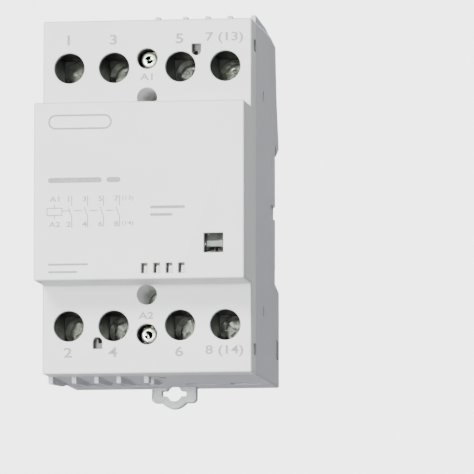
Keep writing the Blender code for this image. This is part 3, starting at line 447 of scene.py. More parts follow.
@dataclass(frozen=True)
class SoftMetal:
    """Copper or brass with tarnish that gathers in patches.

    Args:
        name: Name of the material.
        colour: Clean colour.
        tarnish: Colour of the dull patches.
        roughness: Mean roughness.
    """

    name: str
    colour: Colour
    tarnish: Colour
    roughness: float

    def make(self) -> bpy.types.Material:
        """Build the material.

        Returns:
            The material.
        """
        recipe = Recipe(self.name)
        patch = recipe.between(recipe.noise(240.0, 4.0, 0.6), 0.42, 0.72)
        colour = recipe.blend(patch, self.colour, self.tarnish)
        colour = recipe.blend(recipe.edges() * 0.5, colour, shade(self.colour, 1.2))
        rolled = recipe.noise(1800.0, 2.0, 0.5, (1.0, 1.0, 0.08))
        recipe.paint(colour, self.roughness + patch * 0.15, recipe.bump(rolled, 0.004 * MM), 1.0)
        return recipe.material


@dataclass(frozen=True)
class BoardResin:
    """Green circuit board with darker tracks under the varnish.

    Args:
        name: Name of the material.
        colour: Colour of the varnish over bare resin.
        track: Colour of the varnish over copper.
    """

    name: str
    colour: Colour
    track: Colour

    def make(self) -> bpy.types.Material:
        """Build the material.

        Returns:
            The material.
        """
        recipe = Recipe(self.name)
        cells = recipe.node("ShaderNodeTexVoronoi", {"feature": "F1", "distance": "CHEBYCHEV"},
                            {"Vector": recipe.place(), "Scale": 260.0})
        track = recipe.between(recipe.out(cells, "Distance"), 0.38, 0.42)
        weave = recipe.noise(2200.0, 2.0)
        colour = recipe.blend(track, self.colour, self.track)
        recipe.paint(colour, 0.28 + weave * 0.15, recipe.bump(track + weave * 0.2, 0.02 * MM))
        recipe.shader.inputs["Coat Roughness"].default_value = 0.15
        return recipe.material


@dataclass(frozen=True)
class ClearPlastic:
    """Clear moulded window.

    Args:
        name: Name of the material.
        tint: Slight colour of the plastic.
    """

    name: str
    tint: Colour

    def make(self) -> bpy.types.Material:
        """Build the material.

        Returns:
            The material.
        """
        recipe = Recipe(self.name)
        smear = recipe.noise(700.0, 3.0)
        colour = recipe.blend(recipe.between(smear, 0.4, 0.7), self.tint, shade(self.tint, 0.97))
        recipe.paint(colour, 0.02 + smear * 0.03, recipe.bump(smear, 0.0003 * MM))
        recipe.shader.inputs["Transmission Weight"].default_value = 1.0
        recipe.shader.inputs["IOR"].default_value = 1.30
        return recipe.material


@dataclass(frozen=True)
class PadInk:
    """Pad-printed ink that thins out in specks.

    Args:
        name: Name of the material.
        colour: Colour of the ink.
        ground: Colour of the plastic that shows through.
    """

    name: str
    colour: Colour
    ground: Colour

    def make(self) -> bpy.types.Material:
        """Build the material.

        Returns:
            The material.
        """
        recipe = Recipe(self.name)
        thin = recipe.between(recipe.noise(3000.0, 3.0, 0.7), 0.50, 0.80)
        colour = recipe.blend(thin * 0.5, self.colour, self.ground)
        recipe.paint(colour, 0.55 + thin * 0.1, recipe.bump(thin, 0.002 * MM))
        return recipe.material


@dataclass(frozen=True)
class Rubber:
    """Matt black rubber.

    Args:
        name: Name of the material.
        colour: Main colour.
    """

    name: str
    colour: Colour

    def make(self) -> bpy.types.Material:
        """Build the material.

        Returns:
            The material.
        """
        recipe = Recipe(self.name)
        bloom = recipe.between(recipe.noise(350.0, 4.0, 0.6), 0.4, 0.8)
        colour = recipe.blend(bloom, self.colour, shade(self.colour, 2.2))
        recipe.paint(colour, 0.75 + bloom * 0.15, recipe.bump(recipe.noise(2500.0), 0.01 * MM))
        return recipe.material


class Finish(Enum):
    """Every finish on the contactor."""

    COVER = MouldedPlastic("cover_plastic", (0.610, 0.618, 0.610), 0.46)
    # darker than the cover: partly the base's own bluish grey, partly painted shade for its less-lit
    # sides and underside
    BASE = MouldedPlastic("base_plastic", (0.430, 0.434, 0.462), 0.52)
    CLIP = MouldedPlastic("clip_plastic", (0.420, 0.430, 0.442), 0.44)
    DARK = MouldedPlastic("dark_plastic", (0.034, 0.038, 0.032), 0.40, 0.008 * MM, 0.10, 0.12)
    BOBBIN = MouldedPlastic("bobbin_plastic", (0.075, 0.075, 0.078), 0.45, 0.008 * MM, 0.08, 0.10)
    FLAG = MouldedPlastic("flag_plastic", (0.640, 0.645, 0.650), 0.42)
    # painted shade: dark plastic on the flag's recessed body, in place of the shade deep behind the
    # window
    HOOD = MouldedPlastic("flag_hood", (0.085, 0.088, 0.086), 0.50)
    LENS = ClearPlastic("lens_clear", (0.93, 0.95, 0.94))
    SCREW = PlatedSteel("screw_zinc", (0.74, 0.76, 0.70), (0.66, 0.72, 0.60), 0.30)
    CAGE = PlatedSteel("cage_zinc", (0.66, 0.67, 0.64), (0.60, 0.64, 0.56), 0.36, (0.1, 1.0, 1.0))
    SPRING = PlatedSteel("spring_steel", (0.56, 0.57, 0.58), (0.50, 0.50, 0.52), 0.28)
    CORE = Laminations("core_steel", (0.34, 0.34, 0.35), 0.5 * MM)
    COPPER = SoftMetal("copper", (0.78, 0.42, 0.26), (0.52, 0.27, 0.17), 0.32)
    WINDING = SoftMetal("winding_copper", (0.56, 0.20, 0.08), (0.42, 0.13, 0.05), 0.26)
    BRASS = SoftMetal("brass_plate", (0.74, 0.58, 0.30), (0.52, 0.40, 0.22), 0.34)
    BOARD = BoardResin("board_resin", (0.05, 0.20, 0.09), (0.03, 0.13, 0.06))
    RUBBER = Rubber("pad_rubber", (0.020, 0.020, 0.020))
    INK = PadInk("pad_ink", (0.21, 0.214, 0.214), (0.59, 0.60, 0.59))

    def material(self) -> bpy.types.Material:
        """The finish's material, made the first time it is asked for.

        Returns:
            The material.
        """
        found = bpy.data.materials.get("look_" + self.value.name)
        if found is None:
            found = self.value.make()
            found.name = "look_" + self.value.name
        return found


FINISH_OF_SLOT: Dict[Slot, Finish] = {slot: Finish[slot.name] for slot in Slot}


# Mesh tools -----------------------------------------------------------------
def span(centre: float, width: float) -> Pair:
    """The two ends of a length about a centre."""
    return centre - width / 2, centre + width / 2


def arc(centre: Pair, radius: float, start: float, end: float, steps: int) -> List[Pair]:
    """Points along an arc, its angles in degrees."""
    angles = [math.radians(start + (end - start) * k / steps) for k in range(steps + 1)]
    return [(centre[0] + radius * math.cos(a), centre[1] + radius * math.sin(a)) for a in angles]


def new_piece(name: str, shape: bmesh.types.BMesh) -> Piece:
    """Turn a bmesh into a linked object with outward faces.

    Args:
        name: Name of the object and its mesh.
        shape: The bmesh, which is freed.

    Returns:
        The object.
    """
    bmesh.ops.recalc_face_normals(shape, faces=shape.faces[:])
    mesh = bpy.data.meshes.new(name)
    shape.to_mesh(mesh)
    shape.free()
    made = bpy.data.objects.new(name, mesh)
    bpy.context.scene.collection.objects.link(made)
    return made


def pulled(name: str, points: Sequence[Vector], way: Vector) -> Piece:
    """A flat outline pulled along a way.

    Args:
        name: Name of the object.
        points: Corners of the flat outline.
        way: How far and which way it is pulled.

    Returns:
        The object.
    """
    shape = bmesh.new()
    face = shape.faces.new([shape.verts.new(point) for point in points])
    grown = bmesh.ops.extrude_face_region(shape, geom=[face])["geom"]
    moved = [item for item in grown if isinstance(item, bmesh.types.BMVert)]
    bmesh.ops.translate(shape, verts=moved, vec=way)
    return new_piece(name, shape)


def prism(name: str, outline: Sequence[Pair], xs: Pair) -> Piece:
    """An outline of (y, z) points pulled along X."""
    return pulled(name, [Vector((xs[0], y, z)) for y, z in outline], Vector((xs[1] - xs[0], 0, 0)))


def plate(name: str, outline: Sequence[Pair], ys: Pair) -> Piece:
    """An outline of (x, z) points pulled along Y."""
    return pulled(name, [Vector((x, ys[0], z)) for x, z in outline], Vector((0, ys[1] - ys[0], 0)))


def block(name: str, xs: Pair, ys: Pair, zs: Pair) -> Piece:
    """A block between pairs of X, Y and Z values, given in either order."""
    return plate(name, [(xs[0], zs[0]), (xs[1], zs[0]), (xs[1], zs[1]), (xs[0], zs[1])], ys)


def rod(name: str, x: float, z: float, ys: Pair, diameter: float, facets: int = FINE) -> Piece:
    """A round bar along Y."""
    return plate(name, arc((x, z), diameter / 2, 0, 360 - 360 / facets, facets - 1), ys)


def turned(name: str, profile: Sequence[Pair], x: float, z: float, facets: int = COARSE) -> Piece:
    """A profile of (y, radius) points turned about an axis along Y, closed at both ends.

    Args:
        name: Name of the object.
        profile: Points of (y, radius).
        x: Place of the axis along X.
        z: Place of the axis along Z.
        facets: Facets of a turn.

    Returns:
        The object.
    """
    shape = bmesh.new()
    rings = []
    for y, radius in profile:
        rings.append([shape.verts.new((px, y, pz)) for px, pz in
                      arc((x, z), radius, 0, 360 - 360 / facets, facets - 1)])
    for first, second in zip(rings, rings[1:]):
        for k in range(facets):
            after = (k + 1) % facets
            shape.faces.new((first[k], first[after], second[after], second[k]))
    shape.faces.new(rings[0])
    shape.faces.new(rings[-1])
    return new_piece(name, shape)


def hull(name: str, points: Iterable[Sequence[float]]) -> Piece:
    """The convex solid round some points.

    Args:
        name: Name of the object.
        points: Points that the solid holds.

    Returns:
        The object.
    """
    shape = bmesh.new()
    verts = [shape.verts.new(point) for point in points]
    bmesh.ops.convex_hull(shape, input=verts)
    return new_piece(name, shape)


def tube_along(name: str, path: Sequence[Vector], radius: float, facets: int = 10) -> Piece:
    """Round wire along a smooth path, closed at both ends.

    Args:
        name: Name of the object.
        path: Points along the middle of the wire.
        radius: Radius of the wire.
        facets: Facets round the wire.

    Returns:
        The object.
    """
    shape = bmesh.new()
    rings = []
    for k, point in enumerate(path):
        ahead = (path[min(k + 1, len(path) - 1)] - path[max(k - 1, 0)]).normalized()
        side = ahead.orthogonal().normalized()
        if rings:
            side = (reach - ahead * reach.dot(ahead)).normalized()
        reach = side
        up = ahead.cross(side)
        rings.append([shape.verts.new(point + radius * (side * c + up * s)) for c, s in
                      arc((0, 0), 1.0, 0, 360 - 360 / facets, facets - 1)])
    for first, second in zip(rings, rings[1:]):
        for k in range(facets):
            after = (k + 1) % facets
            shape.faces.new((first[k], first[after], second[after], second[k]))
    shape.faces.new(rings[0])
    shape.faces.new(rings[-1])
    return new_piece(name, shape)


def apply(target: Piece) -> None:
    """Turn the shape that the modifiers give into the piece's own mesh.

    Args:
        target: The piece.
    """
    seen = target.evaluated_get(bpy.context.evaluated_depsgraph_get())
    mesh = bpy.data.meshes.new_from_object(seen)
    target.modifiers.clear()
    target.data = mesh


def merge(tools: Sequence[Piece]) -> Piece:
    """Put pieces that don't touch into one mesh.

    Args:
        tools: Pieces, which are removed.

    Returns:
        One object that holds them all.
    """
    shape = bmesh.new()
    for tool in tools:
        shape.from_mesh(tool.data)
    for tool in tools:
        bpy.data.objects.remove(tool)
    return new_piece("tools", shape)


def combine(target: Piece, tools: Sequence[Piece], operation: str) -> None:
    """Cut or join tools that don't touch each other, in one step, and remove them.

    Args:
        target: The piece that is cut or joined to.
        tools: Pieces, which are removed.
        operation: DIFFERENCE or UNION.
    """
    tool = merge(tools)
    modifier = target.modifiers.new(operation, "BOOLEAN")
    modifier.operation = operation
    modifier.solver = "EXACT"
    modifier.object = tool
    apply(target)
    bpy.data.objects.remove(tool)


def cut(target: Piece, *tools: Piece) -> None:
    """Cut tools that don't touch each other out of the target."""
    combine(target, tools, "DIFFERENCE")


def join(target: Piece, *tools: Piece) -> None:
    """Join tools that don't touch each other to the target."""
    combine(target, tools, "UNION")


def soften(target: Piece, width: float, segments: int = 2, angle: float = 40.0,
           split: bool = False) -> None:
    """Round the edges that are sharper than an angle in degrees, faces of many corners split first when
    asked.

    Args:
        target: The piece.
        width: Width of the rounding in metres.
        segments: Steps of the rounding.
        angle: Least angle of an edge that is rounded.
        split: Cut faces of many corners into triangles first, for faces with tight holes.
    """
    tidy = bmesh.new()
    tidy.from_mesh(target.data)
    bmesh.ops.remove_doubles(tidy, verts=tidy.verts[:], dist=0.001 * MM)
    if split:
        wide = [face for face in tidy.faces if len(face.verts) > 4]
        bmesh.ops.triangulate(tidy, faces=wide, ngon_method="EAR_CLIP")
    low = [min(v.co[k] for v in tidy.verts) for k in range(3)]
    high = [max(v.co[k] for v in tidy.verts) for k in range(3)]
    tidy.to_mesh(target.data)
    tidy.free()
    modifier = target.modifiers.new("rounding", "BEVEL")
    modifier.width = width
    modifier.segments = segments
    modifier.limit_method = "ANGLE"
    modifier.angle_limit = math.radians(angle)
    modifier.use_clamp_overlap = False
    apply(target)
    for v in target.data.vertices:
        v.co = [min(max(v.co[k], low[k]), high[k]) for k in range(3)]


def smooth(target: Piece, angle: float = 32.0) -> None:
    """Shade smooth, with sharp edges kept.

    Args:
        target: The piece.
        angle: Edges sharper than this in degrees stay sharp.
    """
    target.data.shade_smooth()
    target.data.set_sharp_from_angle(angle=math.radians(angle))
    for face in target.data.polygons:
        if max(abs(part) for part in face.normal) > FLAT:
            face.use_smooth = False


def fit_out(piece: Piece, finish: Finish, body: Union[Body, str], slot: Slot,
            *nodes: str) -> Piece:
    """Give a piece its finish and its body, and hide the CAD nodes it stands for.

    Args:
        piece: The finished mesh.
        finish: Its finish.
        body: The body it rides on.
        slot: The record's material slot; not used.
        nodes: CAD nodes that it replaces.

    Returns:
        The same piece.
    """
    piece.data.materials.clear()
    piece.data.materials.append(finish.material())
    smooth(piece)
    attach(piece, body.value if isinstance(body, Body) else body)
    if nodes:
        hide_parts(*nodes)
    LOG.info("%s: %d faces on %s", piece.name, len(piece.data.polygons), body)
    return piece


# Layout ---------------------------------------------------------------------
@dataclass(frozen=True)
class Box:
    """A node's lowest and highest corners."""

    low: Vector
    high: Vector

    @classmethod
    def of(cls, node: str) -> "Box":
        """The box of a CAD node at rest."""
        low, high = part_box(node)
        return cls(Vector(low), Vector(high))

    @property
    def centre(self) -> Vector:
        """Middle of the box."""
        return (self.low + self.high) / 2

    def across(self, axis: int) -> Pair:
        """Both ends along an axis."""
        return self.low[axis], self.high[axis]


@dataclass
class Layout:
    """Places that several sub-assemblies share, read from the frame."""

    side: float
    end: float
    front_y: float
    shoulder_y: float
    parting_y: float
    foot_y: float
    front_end: float
    wall: float
    poles: List[float]
    screw_z: float
    coil_z: float
    cover_screw_z: float
    tower_back: float

    @classmethod
    def from_frame(cls) -> "Layout":
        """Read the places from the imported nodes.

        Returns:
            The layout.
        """
        cover, base = Box.of("front_cover"), Box.of("base_housing")
        coil_screw = Box.of("coil_screw_a1")
        frame_plate = Box.of("contact_frame")
        poles = [Box.of(f"terminal_screw_{n}").centre.x for n in (1, 3, 5, 7)]
        return cls(side=cover.high.x, end=cover.high.z, front_y=cover.low.y,
                   shoulder_y=coil_screw.low.y - COIL_HEAD_DEPTH, parting_y=base.low.y,
                   foot_y=base.high.y, front_end=frame_plate.high.z - 2 * CLEAR, wall=WALL,
                   poles=poles, screw_z=Box.of("terminal_screw_1").centre.z,
                   coil_z=coil_screw.centre.z,
                   cover_screw_z=Box.of("cover_screw_upper").centre.z,
                   tower_back=cover.high.y)

    @property
    def inner_side(self) -> float:
        """Inside of the side walls."""
        return self.side - self.wall

    @property
    def inner_end(self) -> float:
        """Inside of the end walls."""
        return self.end - self.wall


# Housing --------------------------------------------------------------------
@dataclass
class FrontCover:
    """Stepped front shell with its holes, pockets, vents and window."""

    layout: Layout
    edge: float = 0.45 * MM
    lip: float = 0.16 * MM
    screw_hole: float = 7.8 * MM
    coil_hole: float = 5.3 * MM
    deep_hole: float = 5.1 * MM
    pilot: float = 3.1 * MM
    tower: float = 7.6 * MM
    tower_floor: float = 2.0 * MM
    pocket_shift: float = 1.65 * MM
    pocket_end: float = 7.8 * MM
    pocket_size: Pair = (2.4 * MM, 3.0 * MM)
    vent_left: float = 0.62 * MM
    vent_pitch: float = 3.15 * MM
    vent_count: int = 4
    vent_size: Pair = (1.65 * MM, 2.6 * MM)
    vent_slot: float = 0.62 * MM
    vent_edge: float = 1.5 * MM
    snap_end: float = 4.7 * MM
    snap_size: Pair = (3.1 * MM, 3.9 * MM)
    window_play: float = 0.3 * MM
    louvre_floor: Tuple[float, float, float] = (0.02 * MM, 0.6, 0.9)    # depth, shares of the wall
    # depths and edge of the dark sheet of painted shade behind the vents
    shade_sheet_depths: Pair = (0.04 * MM, 0.22 * MM)
    shade_sheet_edge: float = 0.05 * MM

    def baffle(self) -> Piece:
        """A thin dark sheet just behind the vents: painted shade that makes the vent slots read dark,
        as the shaded inside behind them would.

        Returns:
            The piece, with its finish and body.
        """
        lay = self.layout
        inner = lay.front_y + lay.wall
        left = self.vent_left - OVER
        right = self.vent_left + self.vent_count * self.vent_pitch
        low = -lay.front_end + self.vent_edge
        near, far = self.shade_sheet_depths
        # painted shade: a dark sheet that darkens the vent slots
        sheet = block("vent_baffle", (left, right), (inner + near, inner + far),
                      (low - OVER / 2, low + self.vent_size[1] + OVER))
        soften(sheet, self.shade_sheet_edge, 2)
        return fit_out(sheet, Finish.DARK, Body.HOUSING, Slot.DARK)

    def build(self) -> Piece:
        """Make the shell.

        Returns:
            The piece, with its finish and body.
        """
        lay = self.layout
        extra = 3 * OVER
        outline = [(lay.parting_y + extra, lay.end), (lay.shoulder_y, lay.end),
                   (lay.shoulder_y, lay.front_end), (lay.front_y, lay.front_end),
                   (lay.front_y, -lay.front_end), (lay.shoulder_y, -lay.front_end),
                   (lay.shoulder_y, -lay.end), (lay.parting_y + extra, -lay.end)]
        shell = prism("front_cover_shell", outline, (-lay.side, lay.side))
        soften(shell, self.edge, 4)
        cut(shell, block("trim", span(0, 4 * lay.side),
                         (lay.parting_y, lay.parting_y + 2 * extra), span(0, 4 * lay.end)))
        self._hollow(shell)
        self._holes(shell)
        self._front_details(shell)
        soften(shell, self.lip, 2, 50.0)
        return fit_out(shell, Finish.COVER, Body.HOUSING, Slot.COVER, "front_cover")

    def _hollow(self, shell: Piece) -> None:
        """Open the inside, and add the two screw towers.

        Args:
            shell: The cover so far.
        """
        lay = self.layout
        floor = lay.shoulder_y + lay.wall
        inside = [(lay.parting_y + OVER, lay.inner_end), (floor, lay.inner_end),
                  (floor, lay.front_end - lay.wall),
                  (lay.front_y + lay.wall, lay.front_end - lay.wall)]
        inside += [(y, -z) for y, z in reversed(inside)]
        cut(shell, prism("inside", inside, (-lay.inner_side, lay.inner_side)))
        back = lay.tower_back
        join(shell, *[rod("tower", 0, row * lay.cover_screw_z, (lay.shoulder_y + FUSE, back),
                          self.tower) for row in ROWS])
        cut(shell, *[turned("well", [(lay.shoulder_y - OVER, self.deep_hole / 2),
                                     (back - self.tower_floor, self.deep_hole / 2),
                                     (back - self.tower_floor, self.pilot / 2),
                                     (back + OVER, self.pilot / 2)],
                            0, row * lay.cover_screw_z, FINE) for row in ROWS])

    def _holes(self, shell: Piece) -> None:
        """Cut the terminal holes and the side snap slots.

        Args:
            shell: The cover so far.
        """
        lay = self.layout
        through = (lay.shoulder_y - OVER, lay.shoulder_y + lay.wall + OVER)
        tools = []
        for row in ROWS:
            tools += [rod("hole", x, row * lay.screw_z, through, self.screw_hole)
                      for x in lay.poles]
            tools.append(rod("hole", 0, row * lay.coil_z, through, self.coil_hole))
            length, depth = self.snap_size
            top = row * (lay.end - self.snap_end)
            for side in (-1, 1):
                tools.append(block("snap", (side * (lay.inner_side - OVER), side * (lay.side + OVER)),
                                   (lay.parting_y + OVER, lay.parting_y - depth),
                                   (top, top - row * length)))
        cut(shell, *tools)

    def _pocket(self, row: int) -> Piece:
        """A window with one round end that shows the dark insert.

        Args:
            row: 1 for the upper shoulder, -1 for the lower.

        Returns:
            The cutter.
        """
        lay = self.layout
        width, length = self.pocket_size
        between = (lay.poles[2] + lay.poles[3]) / 2
        x, z = row * (between - self.pocket_shift), row * (lay.end - self.pocket_end)
        half = width / 2
        turn = z - length / 2 + half
        outline = [(x + half, z + length / 2), (x - half, z + length / 2)]
        outline += arc((x, turn), half, 180, 360, COARSE // 2)
        if row < 0:
            outline = [(px, 2 * z - pz) for px, pz in outline]
        return plate("pocket", outline, (lay.shoulder_y - OVER, lay.shoulder_y + lay.wall + OVER))

    def _vent(self, left: float) -> List[Piece]:
        """A louvre: a slot down the left and along the top, and a floor that slopes out.

        Args:
            left: Left edge of the vent.

        Returns:
            The cutters of the slot and of the floor.
        """
        lay = self.layout
        width, height = self.vent_size
        low = -lay.front_end + self.vent_edge
        high = low + height
        front, deep = lay.front_y, lay.wall + OVER
        slot = self.vent_slot
        skim, shallow, steep = self.louvre_floor
        corner = plate("slot", [(left, low), (left + slot, low), (left + slot, high - slot),
                                (left + width, high - slot), (left + width, high), (left, high)],
                       (front - OVER, front + deep))
        floor = hull("floor", [(left, front - OVER, low), (left + width, front - OVER, low),
                               (left + width, front - OVER, high), (left, front - OVER, high),
                               (left + width, front + skim, low),
                               (left, front + shallow * lay.wall, low),
                               (left + width, front + shallow * lay.wall, high),
                               (left, front + steep * lay.wall, high)])
        return [corner, floor]

    def _front_details(self, shell: Piece) -> None:
        """Cut the pockets, the vents and the window.

        Args:
            shell: The cover so far.
        """
        lay = self.layout
        cut(shell, *[self._pocket(row) for row in ROWS])
        lefts = [self.vent_left + k * self.vent_pitch for k in range(self.vent_count)]
        vents = [self._vent(left) for left in lefts]
        cut(shell, *[corner for corner, _ in vents])
        cut(shell, *[floor for _, floor in vents])
        lens, flag = Box.of("indicator_lens"), Box.of("indicator_flag")
        half_width = (flag.high.x - flag.low.x) / 2 + self.window_play
        cut(shell, block("window", span(lens.centre.x, 2 * half_width),
                         (lay.front_y - OVER, lay.front_y + lay.wall + OVER),
                         span(lens.centre.z, 2 * half_width)))


@dataclass
class BaseHousing:
    """Rear shell with the rail hook, the wire entries, the ribs and the clip channel."""

    layout: Layout
    edge: float = 0.40 * MM
    lip: float = 0.16 * MM
    back_wall: float = 2.0 * MM
    rail_slot: float = 1.4 * MM
    hook_grip: float = 2.7 * MM
    hook_slope: float = 2.5 * MM
    hook_top: float = 17.3 * MM
    seat_relief: float = 0.3 * MM
    seat_margin: float = 0.4 * MM
    foot_slope: float = 1.7 * MM
    foot_gap: float = 2.8 * MM
    bend: Pair = (3.0 * MM, 13.2 * MM)
    top_edge: Pair = (0.9 * MM, 1.4 * MM)
    top_flat_end: float = 9.0 * MM
    back_rib: float = 1.2 * MM
    back_pockets: int = 3
    clip_slot: float = 7.0 * MM
    rib_width: float = 1.2 * MM
    rib_step: float = 1.0 * MM
    wire_hole: float = 7.6 * MM
    wire_rise: Pair = (7.5 * MM, 1.5 * MM)      # in front of the cage's back face
    coil_wire_hole: float = 5.2 * MM
    coil_wire_rise: Pair = (5.4 * MM, 1.0 * MM)
    pilot_extra: float = 0.5 * MM
    peg_half: float = 1.5 * MM
    peg_height: float = 2.0 * MM
    post: float = 7.0 * MM
    pilot: float = 3.1 * MM
    slit_end: float = 16.0 * MM
    slit_size: Pair = (1.5 * MM, 2.6 * MM)
    slit_depth: float = 22.0 * MM
    recess: float = 0.5 * MM
    notch: Tuple[float, float, float] = (9.0 * MM, 1.3 * MM, 3.3 * MM)
    latch: Tuple[float, float, float] = (1.5 * MM, 7.0 * MM, 5.0 * MM)

    def _outline(self) -> List[Pair]:
        """Side outline as (y, z) points, longer at the front so that it can be trimmed.

        Returns:
            The outline, from the lower front corner round by the rail.
        """
        lay = self.layout
        clip = Box.of("rail_clip")
        foot_top = clip.high.z - self.foot_gap
        seat_low = clip.high.z + self.seat_margin
        hook_low = self.hook_top - self.hook_grip
        seat_high = hook_low - self.seat_margin
        front = lay.parting_y - 3 * OVER
        return [(front, -lay.end), (lay.foot_y, -lay.end),
                (lay.foot_y, foot_top - self.foot_slope), (-self.seat_relief, foot_top),
                (-self.seat_relief, seat_low), (0, seat_low), (0, seat_high),
                (-self.seat_relief, seat_high), (-self.seat_relief, self.hook_top),
                (self.rail_slot, self.hook_top), (self.rail_slot, hook_low),
                (lay.foot_y, hook_low + self.hook_slope),
                (self.bend[0], self.hook_top + self.bend[1]),
                (self.top_edge[0], lay.end - self.top_edge[1]), (-self.top_flat_end, lay.end),
                (front, lay.end)]

    def build(self) -> Piece:
        """Make the shell.

        Returns:
            The piece, with its finish and body.
        """
        lay = self.layout
        shell = prism("base_housing_shell", self._outline(), (-lay.side, lay.side))
        soften(shell, self.edge, 3, 20.0)
        cut(shell, block("trim", span(0, 4 * lay.side),
                         (lay.parting_y, lay.parting_y - 6 * OVER), span(0, 4 * lay.end)))
        cut(shell, block("inside", (-lay.inner_side, lay.inner_side),
                         (lay.parting_y - OVER, -self.back_wall), (-lay.inner_end, lay.inner_end)))
        self._back(shell)
        self._ribs(shell)
        self._openings(shell)
        soften(shell, self.lip, 2, 50.0, split=True)
        return fit_out(shell, Finish.BASE, Body.HOUSING, Slot.BASE, "base_housing")

    def _back(self, shell: Piece) -> None:
        """Cut the lightening pockets and the channel of the rail clip.

        Args:
            shell: The base so far.
        """
        lay = self.layout
        clip = Box.of("rail_clip")
        foot_top = clip.high.z - self.foot_gap
        half_clip = clip.high.x + CLEAR
        pitch = (lay.inner_side - self.back_rib / 2) / self.back_pockets
        tools = []
        for side in (-1, 1):
            for k in range(self.back_pockets):
                near, far = k * pitch + self.back_rib / 2, (k + 1) * pitch - self.back_rib / 2
                xs, ys = (side * near, side * far), (0.0, lay.foot_y + OVER)
                tools.append(block("pocket", xs, ys, (self.hook_top + lay.wall,
                                                      lay.end - 2 * lay.wall)))
                if near > half_clip + self.back_rib:
                    tools.append(block("pocket", xs, ys, (foot_top - self.foot_slope - lay.wall,
                                                          -lay.inner_end)))
        cut(shell, *tools)
        ends = (-lay.end - OVER, foot_top + OVER)
        cut(shell, block("channel", (-half_clip, half_clip),
                         (clip.low.y - CLEAR, clip.high.y + CLEAR), ends))
        cut(shell, block("slot", span(0, self.clip_slot), (clip.high.y, lay.foot_y + OVER), ends))
        spring = Box.of("clip_spring")
        join(shell, block("peg", (-self.peg_half, self.peg_half),
                          (clip.low.y - CLEAR - FUSE, clip.high.y - CLEAR),
                          (spring.low.z - CLEAR - self.peg_height, spring.low.z - CLEAR)))

    def _ribs(self, shell: Piece) -> None:
        """Join the guide ribs on half of the top and half of the underside.

        Args:
            shell: The base so far.
        """
        lay = self.layout
        rib_top = Box.of("base_housing").high.z
        front = lay.parting_y + CLEAR
        inner, outer = lay.poles[2], lay.poles[3]
        edge = self.rib_width + FUSE
        places = (edge, inner, (inner + outer) / 2, outer, lay.side - edge / 2)
        fade_y = Box.of("terminal_screw_1").high.y + OVER
        tools = []
        for row in ROWS:
            low = row * (lay.end - FUSE)
            outline = [(front, low), (front, row * rib_top),
                       (front / 2, row * (lay.end + self.rib_step)), (fade_y, row * lay.end),
                       (fade_y, low)]
            tools += [prism("rib", outline, span(row * x, self.rib_width)) for x in places]
        join(shell, *tools)

    def _openings(self, shell: Piece) -> None:
        """Cut the wire entries and slits, and add the screw posts and side recesses.

        Args:
            shell: The base so far.
        """
        lay = self.layout
        rib_top = Box.of("base_housing").high.z
        cage_y, coil_cage_y = Box.of("clamp_cage_1").high.y, Box.of("coil_cage_a1").high.y
        (front, back), (coil_front, coil_back) = self.wire_rise, self.coil_wire_rise
        tools = []
        for row in ROWS:
            wall = (row * (lay.inner_end - OVER), row * (rib_top + OVER))
            for x in lay.poles:
                tools.append(block("entry", span(x, self.wire_hole),
                                   (cage_y - front - CLEAR, cage_y - back + CLEAR), wall))
            tools.append(block("entry", span(0, self.coil_wire_hole),
                               (coil_cage_y - coil_front - CLEAR, coil_cage_y - coil_back + CLEAR),
                               wall))
            middle = row * (lay.end - self.slit_end - self.slit_size[1] / 2)
            for side in (-1, 1):
                tools.append(block("slit", (side * (lay.inner_side - OVER), side * (lay.side + OVER)),
                                   span(-self.slit_depth, self.slit_size[0]),
                                   span(middle, self.slit_size[1])))
        cut(shell, *tools)
        join(shell, *[rod("post", 0, row * lay.cover_screw_z,
                          (lay.tower_back + CLEAR, -self.back_wall + FUSE), self.post)
                      for row in ROWS])
        screw_end = Box.of("cover_screw_upper").high.y
        cut(shell, *[rod("pilot", 0, row * lay.cover_screw_z,
                         (lay.tower_back, screw_end + self.pilot_extra), self.pilot, COARSE)
                     for row in ROWS])
        front, top, height = self.notch
        back, end, rise = self.latch
        tools = []
        for side in (-1, 1):
            xs = (side * (lay.side - self.recess), side * (lay.side + OVER))
            tools.append(block("recess", xs, (-front, lay.foot_y + OVER), (top - height, top)))
            tools.append(block("recess", xs, (back, lay.foot_y - lay.wall / 2),
                               (-lay.end + end, -lay.end + end + rise)))
        cut(shell, *tools)


